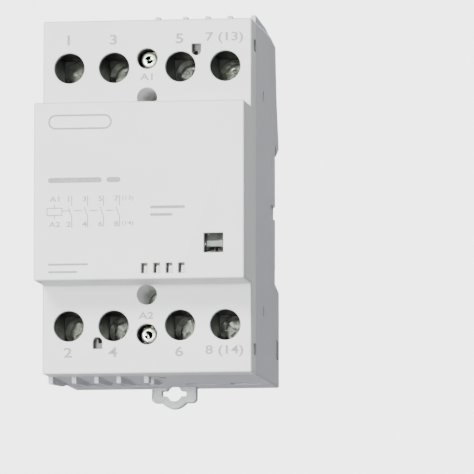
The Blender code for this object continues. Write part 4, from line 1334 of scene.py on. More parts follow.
@dataclass
class TerminalInsert:
    """Dark insert with its screw wells, cage chambers and coil terminal."""

    layout: Layout
    node: str
    row: int
    lip: float = 0.14 * MM
    skin: float = 0.3 * MM
    well: float = 8.0 * MM
    well_depth: float = 17.5 * MM
    well_draft: float = 0.12 * MM
    tube: float = 6.1 * MM
    funnel: float = 7.55 * MM
    neck: float = 0.6 * MM
    coil_hole: float = 5.3 * MM
    tower_hole: float = 8.2 * MM
    coil_head: float = 1.8 * MM
    nib: float = 1.1 * MM
    nib_size: Pair = (2.7 * MM, 1.9 * MM)
    nib_place: Pair = (1.95 * MM, 6.25 * MM)    # before the parting line, from the end

    def build(self) -> Piece:
        """Make the insert.

        Returns:
            The piece, with its finish and body.
        """
        lay, row = self.layout, self.row
        box = Box.of(self.node)
        side = lay.inner_side - CLEAR
        ys, zs = box.across(1), box.across(2)
        body = block(self.node + "_body", (-side, side), ys, zs)
        soften(body, self.skin, 2)
        cage, screw = Box.of("clamp_cage_1"), Box.of("terminal_screw_1")
        chamber_front = screw.low.y - CLEAR
        half = (cage.high.x - cage.low.x) / 2 + CLEAR
        out, back = row * (abs(max(zs, key=abs)) + OVER), ys[1] + OVER
        chamber_in = lay.screw_z - (cage.high.z - cage.low.z) / 2 - CLEAR - OVER
        step_y = lay.shoulder_y + self.well_depth
        cut(body, *[self._well(x, row * lay.screw_z, (ys[0] - OVER, step_y)) for x in lay.poles])
        funnel = [(step_y - OVER, self.funnel / 2), (step_y + OVER, self.funnel / 2),
                  (chamber_front - self.neck, self.tube / 2),
                  (chamber_front + OVER, self.tube / 2)]
        cut(body, *[turned("funnel", funnel, x, row * lay.screw_z, FINE) for x in lay.poles])
        cut(body, *[block("chamber", span(x, 2 * half), (chamber_front, back),
                          (row * chamber_in, out)) for x in lay.poles])
        strip = Box.of("contact_strip_1")
        cut(body, *[block("slot", span(x, strip.high.x - strip.low.x + 2 * CLEAR), (screw.high.y, back),
                          (row * (abs(min(zs, key=abs)) - OVER), row * (chamber_in + OVER)))
                    for x in lay.poles])
        self._coil_terminal(body, ys, out, back)
        self._nibs(body, side)
        soften(body, self.lip, 2, 50.0, split=True)
        return fit_out(body, Finish.DARK, Body.HOUSING, Slot.DARK, self.node)

    def _well(self, x: float, z: float, ys: Pair) -> Piece:
        """A square well that narrows a little towards its step.

        Args:
            x: Middle of the well along X.
            z: Middle of the well along Z.
            ys: Its mouth and its step.

        Returns:
            The cutter.
        """
        half = self.well / 2
        return hull("well", [(x + sx * (half + draft), y, z + sz * (half + draft))
                             for sx in (-1, 1) for sz in (-1, 1)
                             for y, draft in ((ys[0], self.well_draft), (ys[1], 0.0))])

    def _coil_terminal(self, body: Piece, ys: Pair, out: float, back: float) -> None:
        """Cut the coil screw's hole, its chamber, the plate's slot and the tower's hole.

        Args:
            body: The insert so far.
            ys: Front and back of the insert.
            out: Past the insert's outer end.
            back: Past the insert's back.
        """
        lay, row = self.layout, self.row
        cage, plate_box = Box.of("coil_cage_a1"), Box.of("coil_plate_a1")
        seat_y = Box.of("coil_screw_a1").low.y + self.coil_head
        chamber_in = cage.low.z - CLEAR
        cut(body, rod("coil_hole", 0, row * lay.coil_z, (ys[0] - OVER, seat_y + OVER),
                      self.coil_hole))
        cut(body, block("coil_chamber", span(0, cage.high.x - cage.low.x + 2 * CLEAR),
                        (seat_y - CLEAR, cage.high.y + CLEAR), (row * chamber_in, out)))
        cut(body, block("leg_slot", span(0, plate_box.high.x - plate_box.low.x + 2 * CLEAR),
                        (plate_box.low.y - CLEAR, plate_box.high.y + CLEAR),
                        (row * (plate_box.low.z - CLEAR), row * (chamber_in + FUSE))))
        cut(body, rod("tower_hole", 0, row * lay.cover_screw_z, (ys[0] - OVER, back),
                      self.tower_hole))

    def _nibs(self, body: Piece, side: float) -> None:
        """Join the nibs that catch the cover's snap slots.

        Args:
            body: The insert so far.
            side: Half of the insert's width.
        """
        lay = self.layout
        (depth, length), (before, inwards) = self.nib_size, self.nib_place
        z = self.row * (lay.end - inwards)
        join(body, *[block("nib", (way * (side - FUSE), way * (side + CLEAR + self.nib)),
                           span(lay.parting_y - before, depth), span(z, length))
                     for way in (-1, 1)])


# Terminals ------------------------------------------------------------------
@dataclass
class CrossScrew:
    """Cross-headed screw with a domed head, a flared recess and a rolled thread."""

    node: str
    body: str
    head: float
    head_height: float
    shank: float
    pitch: float
    recess: float
    recess_width: float
    recess_depth: float
    turn: float
    dome: float = 0.18 * MM
    thread_depth: float = 0.28 * MM
    slot_width: float = 0.0
    slot_depth: float = 1.0 * MM
    crown: Tuple[Pair, ...] = ((0.0, 0.55), (0.35, 0.82), (1.3, 0.96), (2.4, 1.0))  # domes, radii
    chamfer: float = 0.15 * MM
    run_out: float = 0.3 * MM
    crest: Pair = (0.42, 0.58)      # flat top of a thread, as shares of its pitch
    tip_share: float = 0.75
    bar_mouth: float = 1.08         # size of the recess at the face
    bar_waist: Pair = (0.6, 0.85)   # a depth of the recess, and its size there
    bar_floor: Pair = (0.35, 0.5)   # length and width of the recess at its floor
    tick_reach: Pair = (0.18, 0.44)     # ends of a tick, as shares of the head
    tick_half: Pair = (0.05 * MM, 0.09 * MM)
    tick_depth: float = 0.22 * MM
    facets: int = 48
    lip: float = 0.05 * MM

    def _profile(self, box: Box) -> List[Pair]:
        """Profile of the head and thread as (y, radius) points.

        Args:
            box: The screw's box.

        Returns:
            Points from the face to the tip.
        """
        face, tip = box.across(1)
        seat = face + self.head_height
        radius, core = self.head / 2, self.shank / 2 - self.thread_depth
        points = [(face + self.dome * rise, radius * share) for rise, share in self.crown]
        points += [(seat - self.chamfer, radius), (seat, radius - self.chamfer), (seat, core)]
        turns = int((tip - seat - 2 * self.run_out) / self.pitch)
        for k in range(turns):
            y = seat + self.run_out + k * self.pitch
            points += [(y, core)] + [(y + self.pitch * part, self.shank / 2) for part in self.crest]
        return points + [(tip - self.run_out, core), (tip, core * self.tip_share)]

    def _bar(self) -> Piece:
        """One tapering arm pair of the cross, its face at y = 0.

        Returns:
            The cutter.
        """
        wide, flare = self.recess / 2, self.recess_width / 2
        corners = [(sx, sz) for sx in (-1, 1) for sz in (-1, 1)]
        (depth, waist), (long, short) = self.bar_waist, self.bar_floor
        points = [(sx * wide * out, y, sz * flare * out) for sx, sz in corners
                  for y, out in ((-OVER, self.bar_mouth), (self.recess_depth * depth, waist))]
        points += [(sx * wide * long, self.recess_depth, sz * flare * short) for sx, sz in corners]
        return hull("bar", points)

    def _placed(self, tool: Piece, place: Sequence[float], extra: float) -> Piece:
        """Turn a tool to the screw's angle and move it to the head.

        Args:
            tool: A cutter made at the origin.
            place: Middle of the screw's face.
            extra: Degrees on top of the screw's own angle.

        Returns:
            The same cutter.
        """
        spin = Matrix.Rotation(math.radians(self.turn + extra), 4, "Y")
        tool.data.transform(Matrix.Translation(place) @ spin)
        return tool

    def build(self) -> Piece:
        """Make the screw.

        Returns:
            The piece, with its finish and body.
        """
        box = Box.of(self.node)
        x, z = box.centre.x, box.centre.z
        face = box.low.y
        made = turned(self.node + "_turned", self._profile(box), x, z, self.facets)
        for k in range(2):
            cut(made, self._placed(self._bar(), (x, face, z), 90 * k))
        if self.slot_width:
            slot = block("slot", span(0, 2 * self.head), (-OVER, self.slot_depth),
                         span(0, self.slot_width))
            cut(made, self._placed(slot, (x, face, z), 0))
        for k in range(4):
            tick = hull("tick", [(self.head * reach, y, w)
                                 for reach, half in zip(self.tick_reach, self.tick_half)
                                 for w in (half, -half) for y in (-OVER, self.tick_depth)])
            cut(made, self._placed(tick, (x, face, z), 45 + 90 * k))
        soften(made, self.lip, 2, 50.0)
        return fit_out(made, Finish.SCREW, self.body, Slot.SCREW, self.node)


@dataclass
class ClampCage:
    """Folded box clamp with a threaded collar and a serrated jaw."""

    node: str
    body: str
    side: float
    front: float
    back: float
    hole: float
    corner: float = 0.7 * MM
    teeth: int = 5
    tooth_half: float = 0.35 * MM
    tooth_depth: float = 0.25 * MM
    lip: float = 0.12 * MM

    def build(self) -> Piece:
        """Make the cage.

        Returns:
            The piece, with its finish and body.
        """
        box = Box.of(self.node)
        x, z = box.centre.x, box.centre.z
        (x0, x1), (y0, y1), (z0, z1) = (box.across(axis) for axis in range(3))
        r = self.corner
        ring = arc((x0 + r, y0 + r), r, 180, 270, 5) + arc((x1 - r, y0 + r), r, 270, 360, 5)
        ring += arc((x1 - r, y1 - r), r, 0, 90, 5) + arc((x0 + r, y1 - r), r, 90, 180, 5)
        made = pulled(self.node + "_folded", [Vector((px, py, z0)) for px, py in ring],
                      Vector((0, 0, z1 - z0)))
        s = r * 0.6
        i0, i1, j0, j1 = x0 + self.side, x1 - self.side, y0 + self.front, y1 - self.back
        room = arc((i0 + s, j0 + s), s, 180, 270, 4) + arc((i1 - s, j0 + s), s, 270, 360, 4)
        room += arc((i1 - s, j1 - s), s, 0, 90, 4) + arc((i0 + s, j1 - s), s, 90, 180, 4)
        cut(made, pulled("room", [Vector((px, py, z0 - OVER)) for px, py in room],
                         Vector((0, 0, z1 - z0 + 2 * OVER))))
        cut(made, rod("hole", x, z, (y0 - OVER, j0 + OVER), self.hole, 48))
        pitch = (z1 - z0) / (self.teeth + 1)
        for k in range(self.teeth):
            tooth = z0 + pitch * (k + 1)
            cut(made, prism("groove", [(j1 - OVER, tooth - self.tooth_half - OVER),
                                       (j1 + self.tooth_depth, tooth),
                                       (j1 - OVER, tooth + self.tooth_half + OVER)],
                            (i0 + s, i1 - s)))
        soften(made, self.lip, 2, 50.0)
        return fit_out(made, Finish.CAGE, self.body, Slot.CAGE, self.node)


class Terminals:
    """All screws and cages, each screw left at the angle it was last turned to."""

    TURNS = (28.0, 64.0, -12.0, 40.0, 8.0, 75.0, -30.0, 52.0)

    def build(self) -> None:
        """Make the main, coil and cover screws, and the cages."""
        for n, turn in enumerate(self.TURNS, start=1):
            CrossScrew(f"terminal_screw_{n}", f"screw_{n}", head=6.6 * MM, head_height=2.6 * MM,
                       shank=4.9 * MM, pitch=0.8 * MM, recess=4.2 * MM, recess_width=0.8 * MM,
                       recess_depth=1.2 * MM, turn=turn, slot_width=0.9 * MM).build()
            ClampCage(f"clamp_cage_{n}", f"cage_{n}", side=1.0 * MM, front=2.0 * MM,
                      back=1.5 * MM, hole=5.4 * MM).build()
        for label, turn in (("a1", 18.0), ("a2", 57.0)):
            CrossScrew(f"coil_screw_{label}", f"screw_{label}", head=4.1 * MM,
                       head_height=1.8 * MM, shank=3.0 * MM, pitch=0.6 * MM, recess=2.3 * MM,
                       recess_width=0.55 * MM, recess_depth=0.8 * MM, turn=turn,
                       thread_depth=0.2 * MM).build()
            ClampCage(f"coil_cage_{label}", f"cage_{label}", side=0.7 * MM, front=1.4 * MM,
                      back=1.0 * MM, hole=3.5 * MM, corner=0.5 * MM, teeth=3).build()
        for label, turn in (("upper", 33.0), ("lower", 70.0)):
            CrossScrew(f"cover_screw_{label}", Body.HOUSING.value, head=4.4 * MM,
                       head_height=2.0 * MM, shank=2.5 * MM, pitch=0.9 * MM, recess=3.0 * MM,
                       recess_width=0.7 * MM, recess_depth=1.1 * MM, turn=turn,
                       thread_depth=0.2 * MM).build()


# Rail clip ------------------------------------------------------------------
@dataclass
class RailClip:
    """Sliding clip with its claw, spring window, rounded tab and keyhole."""

    layout: Layout
    tab: float = 4.0 * MM
    bump_width: float = 6.4 * MM
    bump_steps: int = 16
    ear: float = 1.2 * MM
    hole: float = 4.0 * MM
    hole_drop: float = 1.6 * MM
    notch: Pair = (6.4 * MM, 1.4 * MM)
    window_width: float = 3.6 * MM
    window_ends: Pair = (6.0 * MM, 20.0 * MM)
    lip: float = 0.22 * MM

    def _outline(self, box: Box) -> List[Pair]:
        """Front outline as (x, z) points, from the top right corner down and round.

        Args:
            box: The clip's box.

        Returns:
            The outline.
        """
        half, ear_z, nose = box.high.x, -self.layout.end - self.tab, box.low.z
        right = [(half, box.high.z)] + list(reversed(
            arc((half - self.ear, ear_z + self.ear), self.ear, -90, 0, 8)))
        for k in range(self.bump_steps):
            share = k / self.bump_steps
            drop = 1 - (1 - share) ** 2
            right.append((self.bump_width / 2 * (1 - share), ear_z + (nose - ear_z) * drop))
        return right + [(0, nose)] + [(-x, z) for x, z in reversed(right)]

    def build(self) -> Piece:
        """Make the clip.

        Returns:
            The piece, with its finish and body.
        """
        box = Box.of("rail_clip")
        end = self.layout.end
        (y0, y1), top = box.across(1), box.high.z
        made = plate("rail_clip_slide", self._outline(box), (y0, y1))
        thick = y1 - y0
        claw = [(y0, top + FUSE), (y1 + OVER, top + FUSE), (y1 + OVER, top - thick - OVER)]
        cut(made, prism("claw", claw, span(0, 3 * box.high.x)))
        through = (y0 - OVER, y1 + OVER)
        low, high = self.window_ends
        cut(made, block("window", span(0, self.window_width), through, (-end + low, -end + high)))
        hole_z = -end - self.hole_drop
        cut(made, rod("hole", 0, hole_z, through, self.hole, 48))
        cut(made, block("notch", span(0, self.notch[0]), through, span(hole_z, self.notch[1])))
        soften(made, self.lip, 3, 50.0)
        return fit_out(made, Finish.CLIP, Body.CLIP, Slot.CLIP, "rail_clip")


# Springs and winding --------------------------------------------------------
@dataclass
class CoilSpring:
    """Round-wire spring with closed ends, made at its rest length."""

    node: str
    body: Body
    axis: int
    turns: float
    joint: str
    travel: float
    anchor_high: bool
    wire: float = 0.5 * MM
    steps: int = 28
    dead_lift: float = 0.55      # rise of a closed end turn, in wires
    dead_height: float = 2.1     # height that the closed ends take, in wires

    def build(self) -> Piece:
        """Make the spring.

        Returns:
            The piece, with its finish and body.
        """
        box = Box.of(self.node)
        centre = box.centre
        low, high = box.across(self.axis)
        radius = (box.high.x - box.low.x - self.wire) / 2
        along = Vector([1.0 if k == self.axis else 0.0 for k in range(3)])
        across = Vector((1, 0, 0))
        up = along.cross(across)
        total = int((self.turns + 2) * self.steps)
        path = []
        for step in range(total + 1):
            turn = step / self.steps
            share = min(max((turn - 1) / self.turns, 0.0), 1.0)
            lift = low + self.wire / 2 + min(turn, 1.0) * self.wire * self.dead_lift
            lift += share * (high - low - self.wire * self.dead_height)
            lift += max(turn - 1 - self.turns, 0.0) * self.wire * self.dead_lift
            angle = 2 * math.pi * turn
            spot = across * math.cos(angle) + up * math.sin(angle)
            base = Vector([0.0 if k == self.axis else centre[k] for k in range(3)])
            path.append(base + spot * radius + along * lift)
        made = tube_along(self.node + "_wire", path, self.wire / 2)
        piece = fit_out(made, Finish.SPRING, self.body, Slot.SPRING, self.node)
        anchor = centre.copy()
        anchor[self.axis] = high if self.anchor_high else low
        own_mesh(piece)
        return piece


@dataclass
class CoilWinding:
    """Enamelled wire wound on the bobbin, turn beside turn."""

    wire: float = 0.55 * MM
    corner: float = 1.4 * MM
    inner: Pair = (9.3 * MM, 6.1 * MM)
    groove: float = 0.18 * MM
    steps: int = 4

    def build(self) -> Piece:
        """Make the winding as a ribbed ring.

        Returns:
            The piece, with its finish and body.
        """
        box = Box.of("coil_winding")
        half_x, half_z = box.high.x, box.high.z
        turns = int((box.high.y - box.low.y) / self.wire)
        pitch = (box.high.y - box.low.y) / turns
        shape = bmesh.new()
        rings = []
        loops = [(box.low.y + k * pitch / self.steps,
                  self.groove * abs(math.sin(math.pi * k / self.steps)) - self.groove)
                 for k in range(turns * self.steps + 1)]
        for y, lift in loops:
            rings.append([shape.verts.new((px, y, pz)) for px, pz in
                          self._ring(half_x + lift, half_z + lift, self.corner)])
        for y, _ in (loops[-1], loops[0]):
            rings.append([shape.verts.new((px, y, pz)) for px, pz in
                          self._ring(*self.inner, self.corner / 2)])
        count = len(rings[0])
        for first, second in zip(rings, rings[1:] + rings[:1]):
            for k in range(count):
                after = (k + 1) % count
                shape.faces.new((first[k], first[after], second[after], second[k]))
        made = new_piece("coil_winding_turns", shape)
        LOG.info("winding of %d turns side by side", turns)
        return fit_out(made, Finish.WINDING, Body.HOUSING, Slot.WINDING, "coil_winding")

    @staticmethod
    def _ring(half_x: float, half_z: float, corner: float) -> List[Pair]:
        """A rectangle with round corners as (x, z) points.

        Args:
            half_x: Half of the width.
            half_z: Half of the height.
            corner: Radius of the corners.

        Returns:
            The outline.
        """
        points: List[Pair] = []
        for k, (sx, sz) in enumerate(((1, 1), (-1, 1), (-1, -1), (1, -1))):
            points += arc((sx * (half_x - corner), sz * (half_z - corner)), corner,
                          90 * k, 90 * k + 90, 5)
        return points


@dataclass(frozen=True)
class Softened:
    """A working piece with its CAD shape, its edges rounded as pressed or moulded."""

    node: str
    body: str
    slot: Slot
    edge: float

    def build(self) -> Piece:
        """Copy the node's mesh into a new piece and round its edges.

        Returns:
            The piece, with its finish and body.
        """
        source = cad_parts[self.node]
        made = bpy.data.objects.new(self.node + "_piece", source.data.copy())
        bpy.context.scene.collection.objects.link(made)
        soften(made, self.edge, 2)
        return fit_out(made, FINISH_OF_SLOT[self.slot], self.body, self.slot, self.node)


class Innards:
    """Everything inside that keeps its CAD shape."""

    def build(self) -> None:
        """Round and dress each inner piece."""
        home, carrier = Body.HOUSING.value, Body.CARRIER.value
        pieces = [Softened("contact_frame", home, Slot.DARK, 0.15 * MM),
                  Softened("fixed_core", home, Slot.CORE, 0.12 * MM),
                  Softened("core_pad", home, Slot.RUBBER, 0.15 * MM),
                  Softened("coil_bobbin", home, Slot.BOBBIN, 0.20 * MM),
                  Softened("rectifier_board", home, Slot.BOARD, 0.15 * MM),
                  Softened("contact_carrier", carrier, Slot.DARK, 0.20 * MM),
                  Softened("armature", carrier, Slot.CORE, 0.15 * MM)]
        pieces += [Softened(f"contact_strip_{n}", home, Slot.COPPER, 0.15 * MM)
                   for n in range(1, 9)]
        pieces += [Softened(f"coil_plate_{label}", home, Slot.BRASS, 0.10 * MM)
                   for label in ("a1", "a2")]
        pieces += [Softened(f"contact_bridge_{n}", f"bridge_{n}", Slot.COPPER, 0.12 * MM)
                   for n in range(1, 5)]
        for piece in pieces:
            piece.build()


# Indicator ------------------------------------------------------------------
@dataclass
class Indicator:
    """Clear window in the cover, and the flag that the carrier moves behind it."""

    edge: float = 0.18 * MM
    face_height: float = 1.4 * MM
    face_drop: float = 1.55 * MM
    rib: float = 0.35 * MM
    hood_depth: float = 2.2 * MM
    head_drop: float = 1.1 * MM
    arm: Pair = (0.6 * MM, 1.3 * MM)            # narrower than the flag, thickness
    rim: Pair = (0.25 * MM, 0.35 * MM)          # rim of the cavities at the side and below
    face_inset: float = 0.1 * MM
    face_proud: float = 0.12 * MM

    def build(self) -> None:
        """Make the window, the flag and its pale face."""
        lens, flag = Box.of("indicator_lens"), Box.of("indicator_flag")
        Softened("indicator_lens", Body.HOUSING.value, Slot.LENS, self.edge).build()
        xs = flag.across(0)
        head_high = lens.high.z - self.head_drop
        y0, y1 = flag.across(1)
        hood = block("indicator_hood", xs, (y0, y1), (flag.low.z, head_high))
        narrower, thick = self.arm
        join(hood, block("arm", span(flag.centre.x, xs[1] - xs[0] - narrower), (y1 - thick, y1),
                         (head_high - FUSE, flag.high.z)))
        top = head_high - self.face_drop
        middle = flag.centre.x
        wall, low = self.rim[0], flag.low.z + self.rim[1]
        for near, far in ((xs[0] + wall, middle - self.rib / 2), (middle + self.rib / 2, xs[1] - wall)):
            cut(hood, block("cavity", (near, far), (y0 - OVER, y0 + self.hood_depth),
                            (low, top - self.face_height)))
        soften(hood, 0.06 * MM, 2, 50.0)
        # the dark hood finish is painted shade for the flag's deep recess behind the window
        fit_out(hood, Finish.HOOD, Body.CARRIER, Slot.FLAG, "indicator_flag")
        face = block("indicator_face", (xs[0] + self.face_inset, xs[1] - self.face_inset),
                     (y0 - self.face_proud, y0 + FUSE), (top - self.face_height, top))
        soften(face, 0.05 * MM, 2)
        fit_out(face, Finish.FLAG, Body.CARRIER, Slot.FLAG)


# Prints ---------------------------------------------------------------------
@dataclass
class Prints:
    """Pad-printed terminal numbers, contact diagram and plain marks."""

    layout: Layout
    film: float = 0.02 * MM
    stroke: float = 0.24 * MM
    number_height: float = 2.55 * MM
    small_height: float = 1.75 * MM
    widen: float = 1.34
    weight: float = 0.018
    upper_row: float = 40.05 * MM
    lower_row: float = -39.6 * MM
    coil_row: float = 30.4 * MM
    shift: float = -0.2 * MM
    bracketed: float = 1.15         # a number with brackets is this much taller

    def _film(self, face_y: float) -> Pair:
        """Front and back of the ink on a face."""
        return face_y - self.film, face_y + 2 * self.film

    def _text(self, words: str, centre: Pair, height: float, face_y: float) -> Piece:
        """Generic terminal marks as a thin solid on a front face.

        Args:
            words: The marks.
            centre: Their middle as (x, z).
            height: Their height.
            face_y: The face they are printed on.

        Returns:
            The solid, without a finish.
        """
        curve = bpy.data.curves.new("print", "FONT")
        curve.body = words
        curve.extrude = 1.5 * self.film
        curve.offset = self.weight
        curve.resolution_u = 4
        holder = bpy.data.objects.new("print", curve)
        bpy.context.scene.collection.objects.link(holder)
        curve.align_x = "CENTER"
        bpy.context.view_layer.update()
        seen = holder.evaluated_get(bpy.context.evaluated_depsgraph_get())
        mesh = bpy.data.meshes.new_from_object(seen)
        bpy.data.objects.remove(holder)
        rise = [v.co.y for v in mesh.vertices]
        run = [v.co.x for v in mesh.vertices]
        scale = height / (max(rise) - min(rise))
        middle = ((max(run) + min(run)) / 2, (max(rise) + min(rise)) / 2)
        front = face_y + self.film / 2
        for v in mesh.vertices:
            x = centre[0] + (v.co.x - middle[0]) * scale * self.widen
            z = centre[1] + (v.co.y - middle[1]) * scale
            v.co = (x, front - v.co.z, z)
        made = bpy.data.objects.new("print_" + words, mesh)
        bpy.context.scene.collection.objects.link(made)
        return made

    def _line(self, start: Pair, end: Pair, face_y: float) -> Piece:
        """A straight stroke between two (x, z) points.

        Args:
            start: First end.
            end: Last end.
            face_y: The face it is printed on.

        Returns:
            The solid, without a finish.
        """
        way = (Vector(end) - Vector(start)).normalized()
        off = Vector((-way.y, way.x)) * self.stroke / 2
        a, b = Vector(start), Vector(end)
        corners = [a + off, b + off, b - off, a - off]
        return plate("stroke", [(p.x, p.y) for p in corners], self._film(face_y))

    def _dress(self, name: str, pieces: Sequence[Piece]) -> Piece:
        """Put strokes into one print.

        Args:
            name: Name of the print.
            pieces: Strokes and texts, which are removed.

        Returns:
            The piece, with its finish and body.
        """
        made = merge(list(pieces))
        made.name = name
        return fit_out(made, Finish.INK, Body.HOUSING, Slot.COVER)

    def _numbers(self) -> None:
        """Numbers beside the terminals."""
        lay = self.layout
        face = lay.shoulder_y
        marks = []
        for z, words in ((self.upper_row, ("1", "3", "5", "7 (13)")),
                         (self.lower_row, ("2", "4", "6", "8 (14)"))):
            for x, word in zip(lay.poles, words):
                tall = self.number_height * (self.bracketed if len(word) > 1 else 1.0)
                marks.append(self._text(word, (x + self.shift, z), tall, face))
        for z, word in ((self.coil_row, "A1"), (-self.coil_row, "A2")):
            marks.append(self._text(word, (self.shift, z), self.small_height, face))
        self._dress("print_terminal_numbers", marks)

    def _diagram(self) -> None:
        """Contact diagram: coil, four contacts and their dashed link."""
        face = self.layout.front_y
        left, coil_z, link_z = -23.3 * MM, -5.2 * MM, -5.0 * MM
        coil, lead = (3.8 * MM, 1.8 * MM), 0.9 * MM
        top, break_top, lever_top, hinge, bottom = (z * MM for z in (-1.2, -3.8, -4.1, -6.6, -9.2))
        lever_reach, dash_gap, dash = 0.85 * MM, 0.55 * MM, 1.9 * MM
        label_left, bracket_right, label_rise, label_height = (v * MM for v in (0.8, 2.1, 3.2, 1.35))
        contact_xs = [(-17.0 + 4.05 * k) * MM for k in range(4)]
        corners = [(left, coil_z - coil[1] / 2), (left + coil[0], coil_z - coil[1] / 2),
                   (left + coil[0], coil_z + coil[1] / 2), (left, coil_z + coil[1] / 2)]
        strokes = [self._line(a, b, face) for a, b in zip(corners, corners[1:] + corners[:1])]
        middle = left + coil[0] / 2
        for way in (1, -1):
            start = coil_z + way * coil[1] / 2
            strokes.append(self._line((middle, start), (middle, start + way * lead), face))
        for x in contact_xs:
            strokes.append(self._line((x, top), (x, break_top), face))
            strokes.append(self._line((x - lever_reach, lever_top), (x, hinge), face))
            strokes.append(self._line((x, hinge), (x, bottom), face))
        starts = [left + coil[0]] + [x + dash_gap for x in contact_xs[:3]]
        strokes += [self._line((x, link_z), (x + dash, link_z), face) for x in starts]
        texts = [("A1", middle, 1), ("A2", middle, -1)]
        for k, pair in enumerate((("1", "2"), ("3", "4"), ("5", "6"), ("7", "8"))):
            texts += [(pair[0], contact_xs[k] - label_left, 1),
                      (pair[1], contact_xs[k] - label_left, -1)]
        texts += [("(13)", contact_xs[3] + bracket_right, 1),
                  ("(14)", contact_xs[3] + bracket_right, -1)]
        marks = [self._text(word, (x, coil_z + way * label_rise), label_height, face)
                 for word, x, way in texts]
        self._dress("print_contact_diagram", strokes + marks)

    def _plain_marks(self) -> None:
        """Plain bars where a maker would print a name, a type and a rating."""
        face = self.layout.front_y
        rows = (("print_name_bar", (-23.1, -6.8), (19.4, 15.6)),
                ("print_type_bar", (-23.1, -9.4), (3.4, 2.1)),
                ("print_type_bar_short", (-8.2, -4.6), (3.4, 2.1)),
                ("print_rating_bar", (2.9, 11.8), (-4.0, -4.7)),
                ("print_rating_bar_short", (2.9, 8.6), (-5.9, -6.6)),
                ("print_note_bar", (-23.0, -12.8), (-18.3, -18.8)),
                ("print_note_bar_short", (-23.0, -15.6), (-20.2, -20.7)))
        for name, (left, right), (high, low) in rows:
            radius = (high - low) / 2 * MM
            centre = (high + low) / 2 * MM
            a, b = left * MM + radius, right * MM - radius
            outline = arc((b, centre), radius, -90, 90, 8) + arc((a, centre), radius, 90, 270, 8)
            bar = plate(name, outline, self._film(face))
            if name == "print_name_bar":
                hollow = 0.45 * MM
                inner = arc((b, centre), radius - hollow, -90, 90, 8)
                inner += arc((a, centre), radius - hollow, 90, 270, 8)
                cut(bar, plate("hollow", inner, (face - OVER, face + OVER)))
            self._dress(name, [bar])

    def build(self) -> None:
        """Make every print."""
        self._numbers()
        self._diagram()
        self._plain_marks()


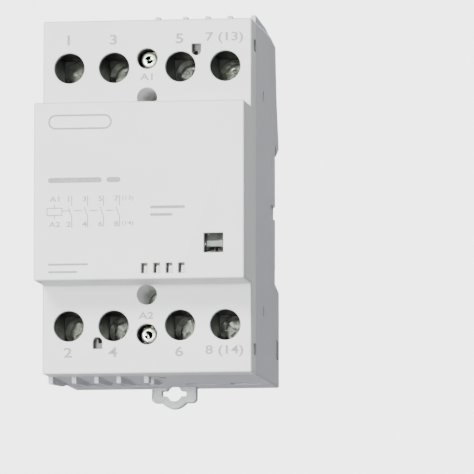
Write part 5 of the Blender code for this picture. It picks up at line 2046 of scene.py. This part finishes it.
# Studio ---------------------------------------------------------------------
@dataclass
class Studio:
    """Pale floor, soft light and the camera."""

    camera_at: Tuple[float, float, float] = (0.252875, -1.644376, -0.179759)
    look_at: Tuple[float, float, float] = (0.02102, -0.030, -0.00933)
    lens: float = 489.0
    floor_z: float = -0.30
    floor_half: float = 6.0
    world_colour: Colour = (0.90, 0.905, 0.93)
    world_strength: float = 0.10
    spread: float = math.radians(40.0)
    backdrop_y: float = 2.4
    backdrop_half: float = 0.8
    backdrop_glow: float = 4.0

    def _floor(self) -> None:
        """A large pale floor well below the contactor."""
        shape = bmesh.new()
        half = self.floor_half
        shape.faces.new([shape.verts.new((x, y, self.floor_z)) for x, y in
                         ((-half, -half), (half, -half), (half, half), (-half, half))])
        floor = new_piece("studio_floor", shape)
        recipe = Recipe("studio_floor")
        drift = recipe.noise(0.8, 2.0)
        recipe.paint(recipe.blend(drift, (0.58, 0.58, 0.60), (0.62, 0.62, 0.63)), 0.8 + drift * 0.1)
        floor.data.materials.append(recipe.material)

    def _backdrop(self) -> None:
        """A glowing pale sheet far behind the contactor."""
        shape = bmesh.new()
        half, y = self.backdrop_half, self.backdrop_y
        shape.faces.new([shape.verts.new((x, y, z)) for x, z in
                         ((-half, -half), (half, -half), (half, half), (-half, half))])
        sheet = new_piece("studio_backdrop", shape)
        recipe = Recipe("studio_backdrop")
        drift = recipe.noise(1.5, 2.0)
        recipe.paint(recipe.blend(drift, (0.82, 0.82, 0.83), (0.86, 0.86, 0.87)), 0.9)
        recipe.feed(recipe.shader.inputs["Emission Color"],
                    recipe.blend(drift, (0.97, 0.97, 0.98), (1.0, 1.0, 1.0)))
        recipe.shader.inputs["Emission Strength"].default_value = self.backdrop_glow
        sheet.data.materials.append(recipe.material)
        sheet.visible_diffuse = False
        sheet.visible_glossy = False

    def _lamp(self, name: str, place: Sequence[float], size: float, power: float,
              colour: Colour = (1.0, 1.0, 1.0)) -> None:
        """A square soft light aimed at the contactor.

        Args:
            name: Name of the lamp.
            place: Where it stands.
            size: Side of its square.
            power: Power in watts.
            colour: Colour of its light.
        """
        data = bpy.data.lights.new(name, "AREA")
        data.shape = "SQUARE"
        data.size = size
        data.energy = power
        data.color = colour
        data.spread = self.spread
        lamp = bpy.data.objects.new(name, data)
        lamp.location = place
        aim = Vector(self.look_at) - Vector(place)
        lamp.rotation_euler = aim.to_track_quat("-Z", "Y").to_euler()
        bpy.context.scene.collection.objects.link(lamp)

    def build(self) -> None:
        """Make the floor, the lights, the world and the camera."""
        self._floor()
        self._backdrop()
        self._lamp("key", (-0.50, -1.85, 1.00), 0.8, 5.0, (1.0, 1.0, 0.99))
        self._lamp("fill", (-0.72, -2.05, -0.08), 0.6, 4.9, (0.99, 1.0, 0.99))
        self._lamp("eye", (0.15, -2.2, -0.28), 0.3, 0.9, (1.0, 1.0, 0.98))
        self._lamp("sheen", (0.85, -1.95, 0.10), 0.4, 0.20, (0.96, 0.97, 1.0))
        self._lamp("back", (0.6, 1.8, 1.2), 1.2, 8.0, (0.97, 0.98, 1.0))
        world = bpy.data.worlds.new("studio")
        world.use_nodes = True
        ground = world.node_tree.nodes["Background"]
        ground.inputs["Color"].default_value = (*self.world_colour, 1)
        ground.inputs["Strength"].default_value = self.world_strength
        bpy.context.scene.world = world
        data = bpy.data.cameras.new("camera")
        data.lens = self.lens
        data.clip_end = 50.0
        camera = bpy.data.objects.new("camera", data)
        camera.location = self.camera_at
        aim = Vector(self.look_at) - Vector(self.camera_at)
        camera.rotation_euler = aim.to_track_quat("-Z", "Y").to_euler()
        bpy.context.scene.collection.objects.link(camera)
        bpy.context.scene.camera = camera


def springs() -> List[CoilSpring]:
    """Every spring, with the name of its joint.

    Returns:
        The springs, not yet built.
    """
    found = [CoilSpring(f"contact_spring_{n}", Body.CARRIER, 1, 3.0, f"bridge_{n}_slide",
                        1.1 * MM, False) for n in range(1, 5)]
    found += [CoilSpring(f"return_spring_{side}", Body.HOUSING, 1, 5.0, "carrier_slide", 4.0 * MM,
                         True) for side in ("left", "right")]
    found.append(CoilSpring("clip_spring", Body.HOUSING, 2, 6.0, "clip_slide", 5.0 * MM, False))
    return found


def main() -> None:
    """Build every sub-assembly in order."""
    logging.basicConfig(level=logging.INFO, format="%(name)s %(message)s")
    layout = Layout.from_frame()
    Studio().build()
    cover = FrontCover(layout)
    cover.build()
    cover.baffle()
    BaseHousing(layout).build()
    TerminalInsert(layout, "terminal_block_upper", 1).build()
    TerminalInsert(layout, "terminal_block_lower", -1).build()
    Terminals().build()
    RailClip(layout).build()
    for spring in springs():
        spring.build()
    CoilWinding().build()
    Innards().build()
    Indicator().build()
    Prints(layout).build()


if __name__ == "__main__":
    main()
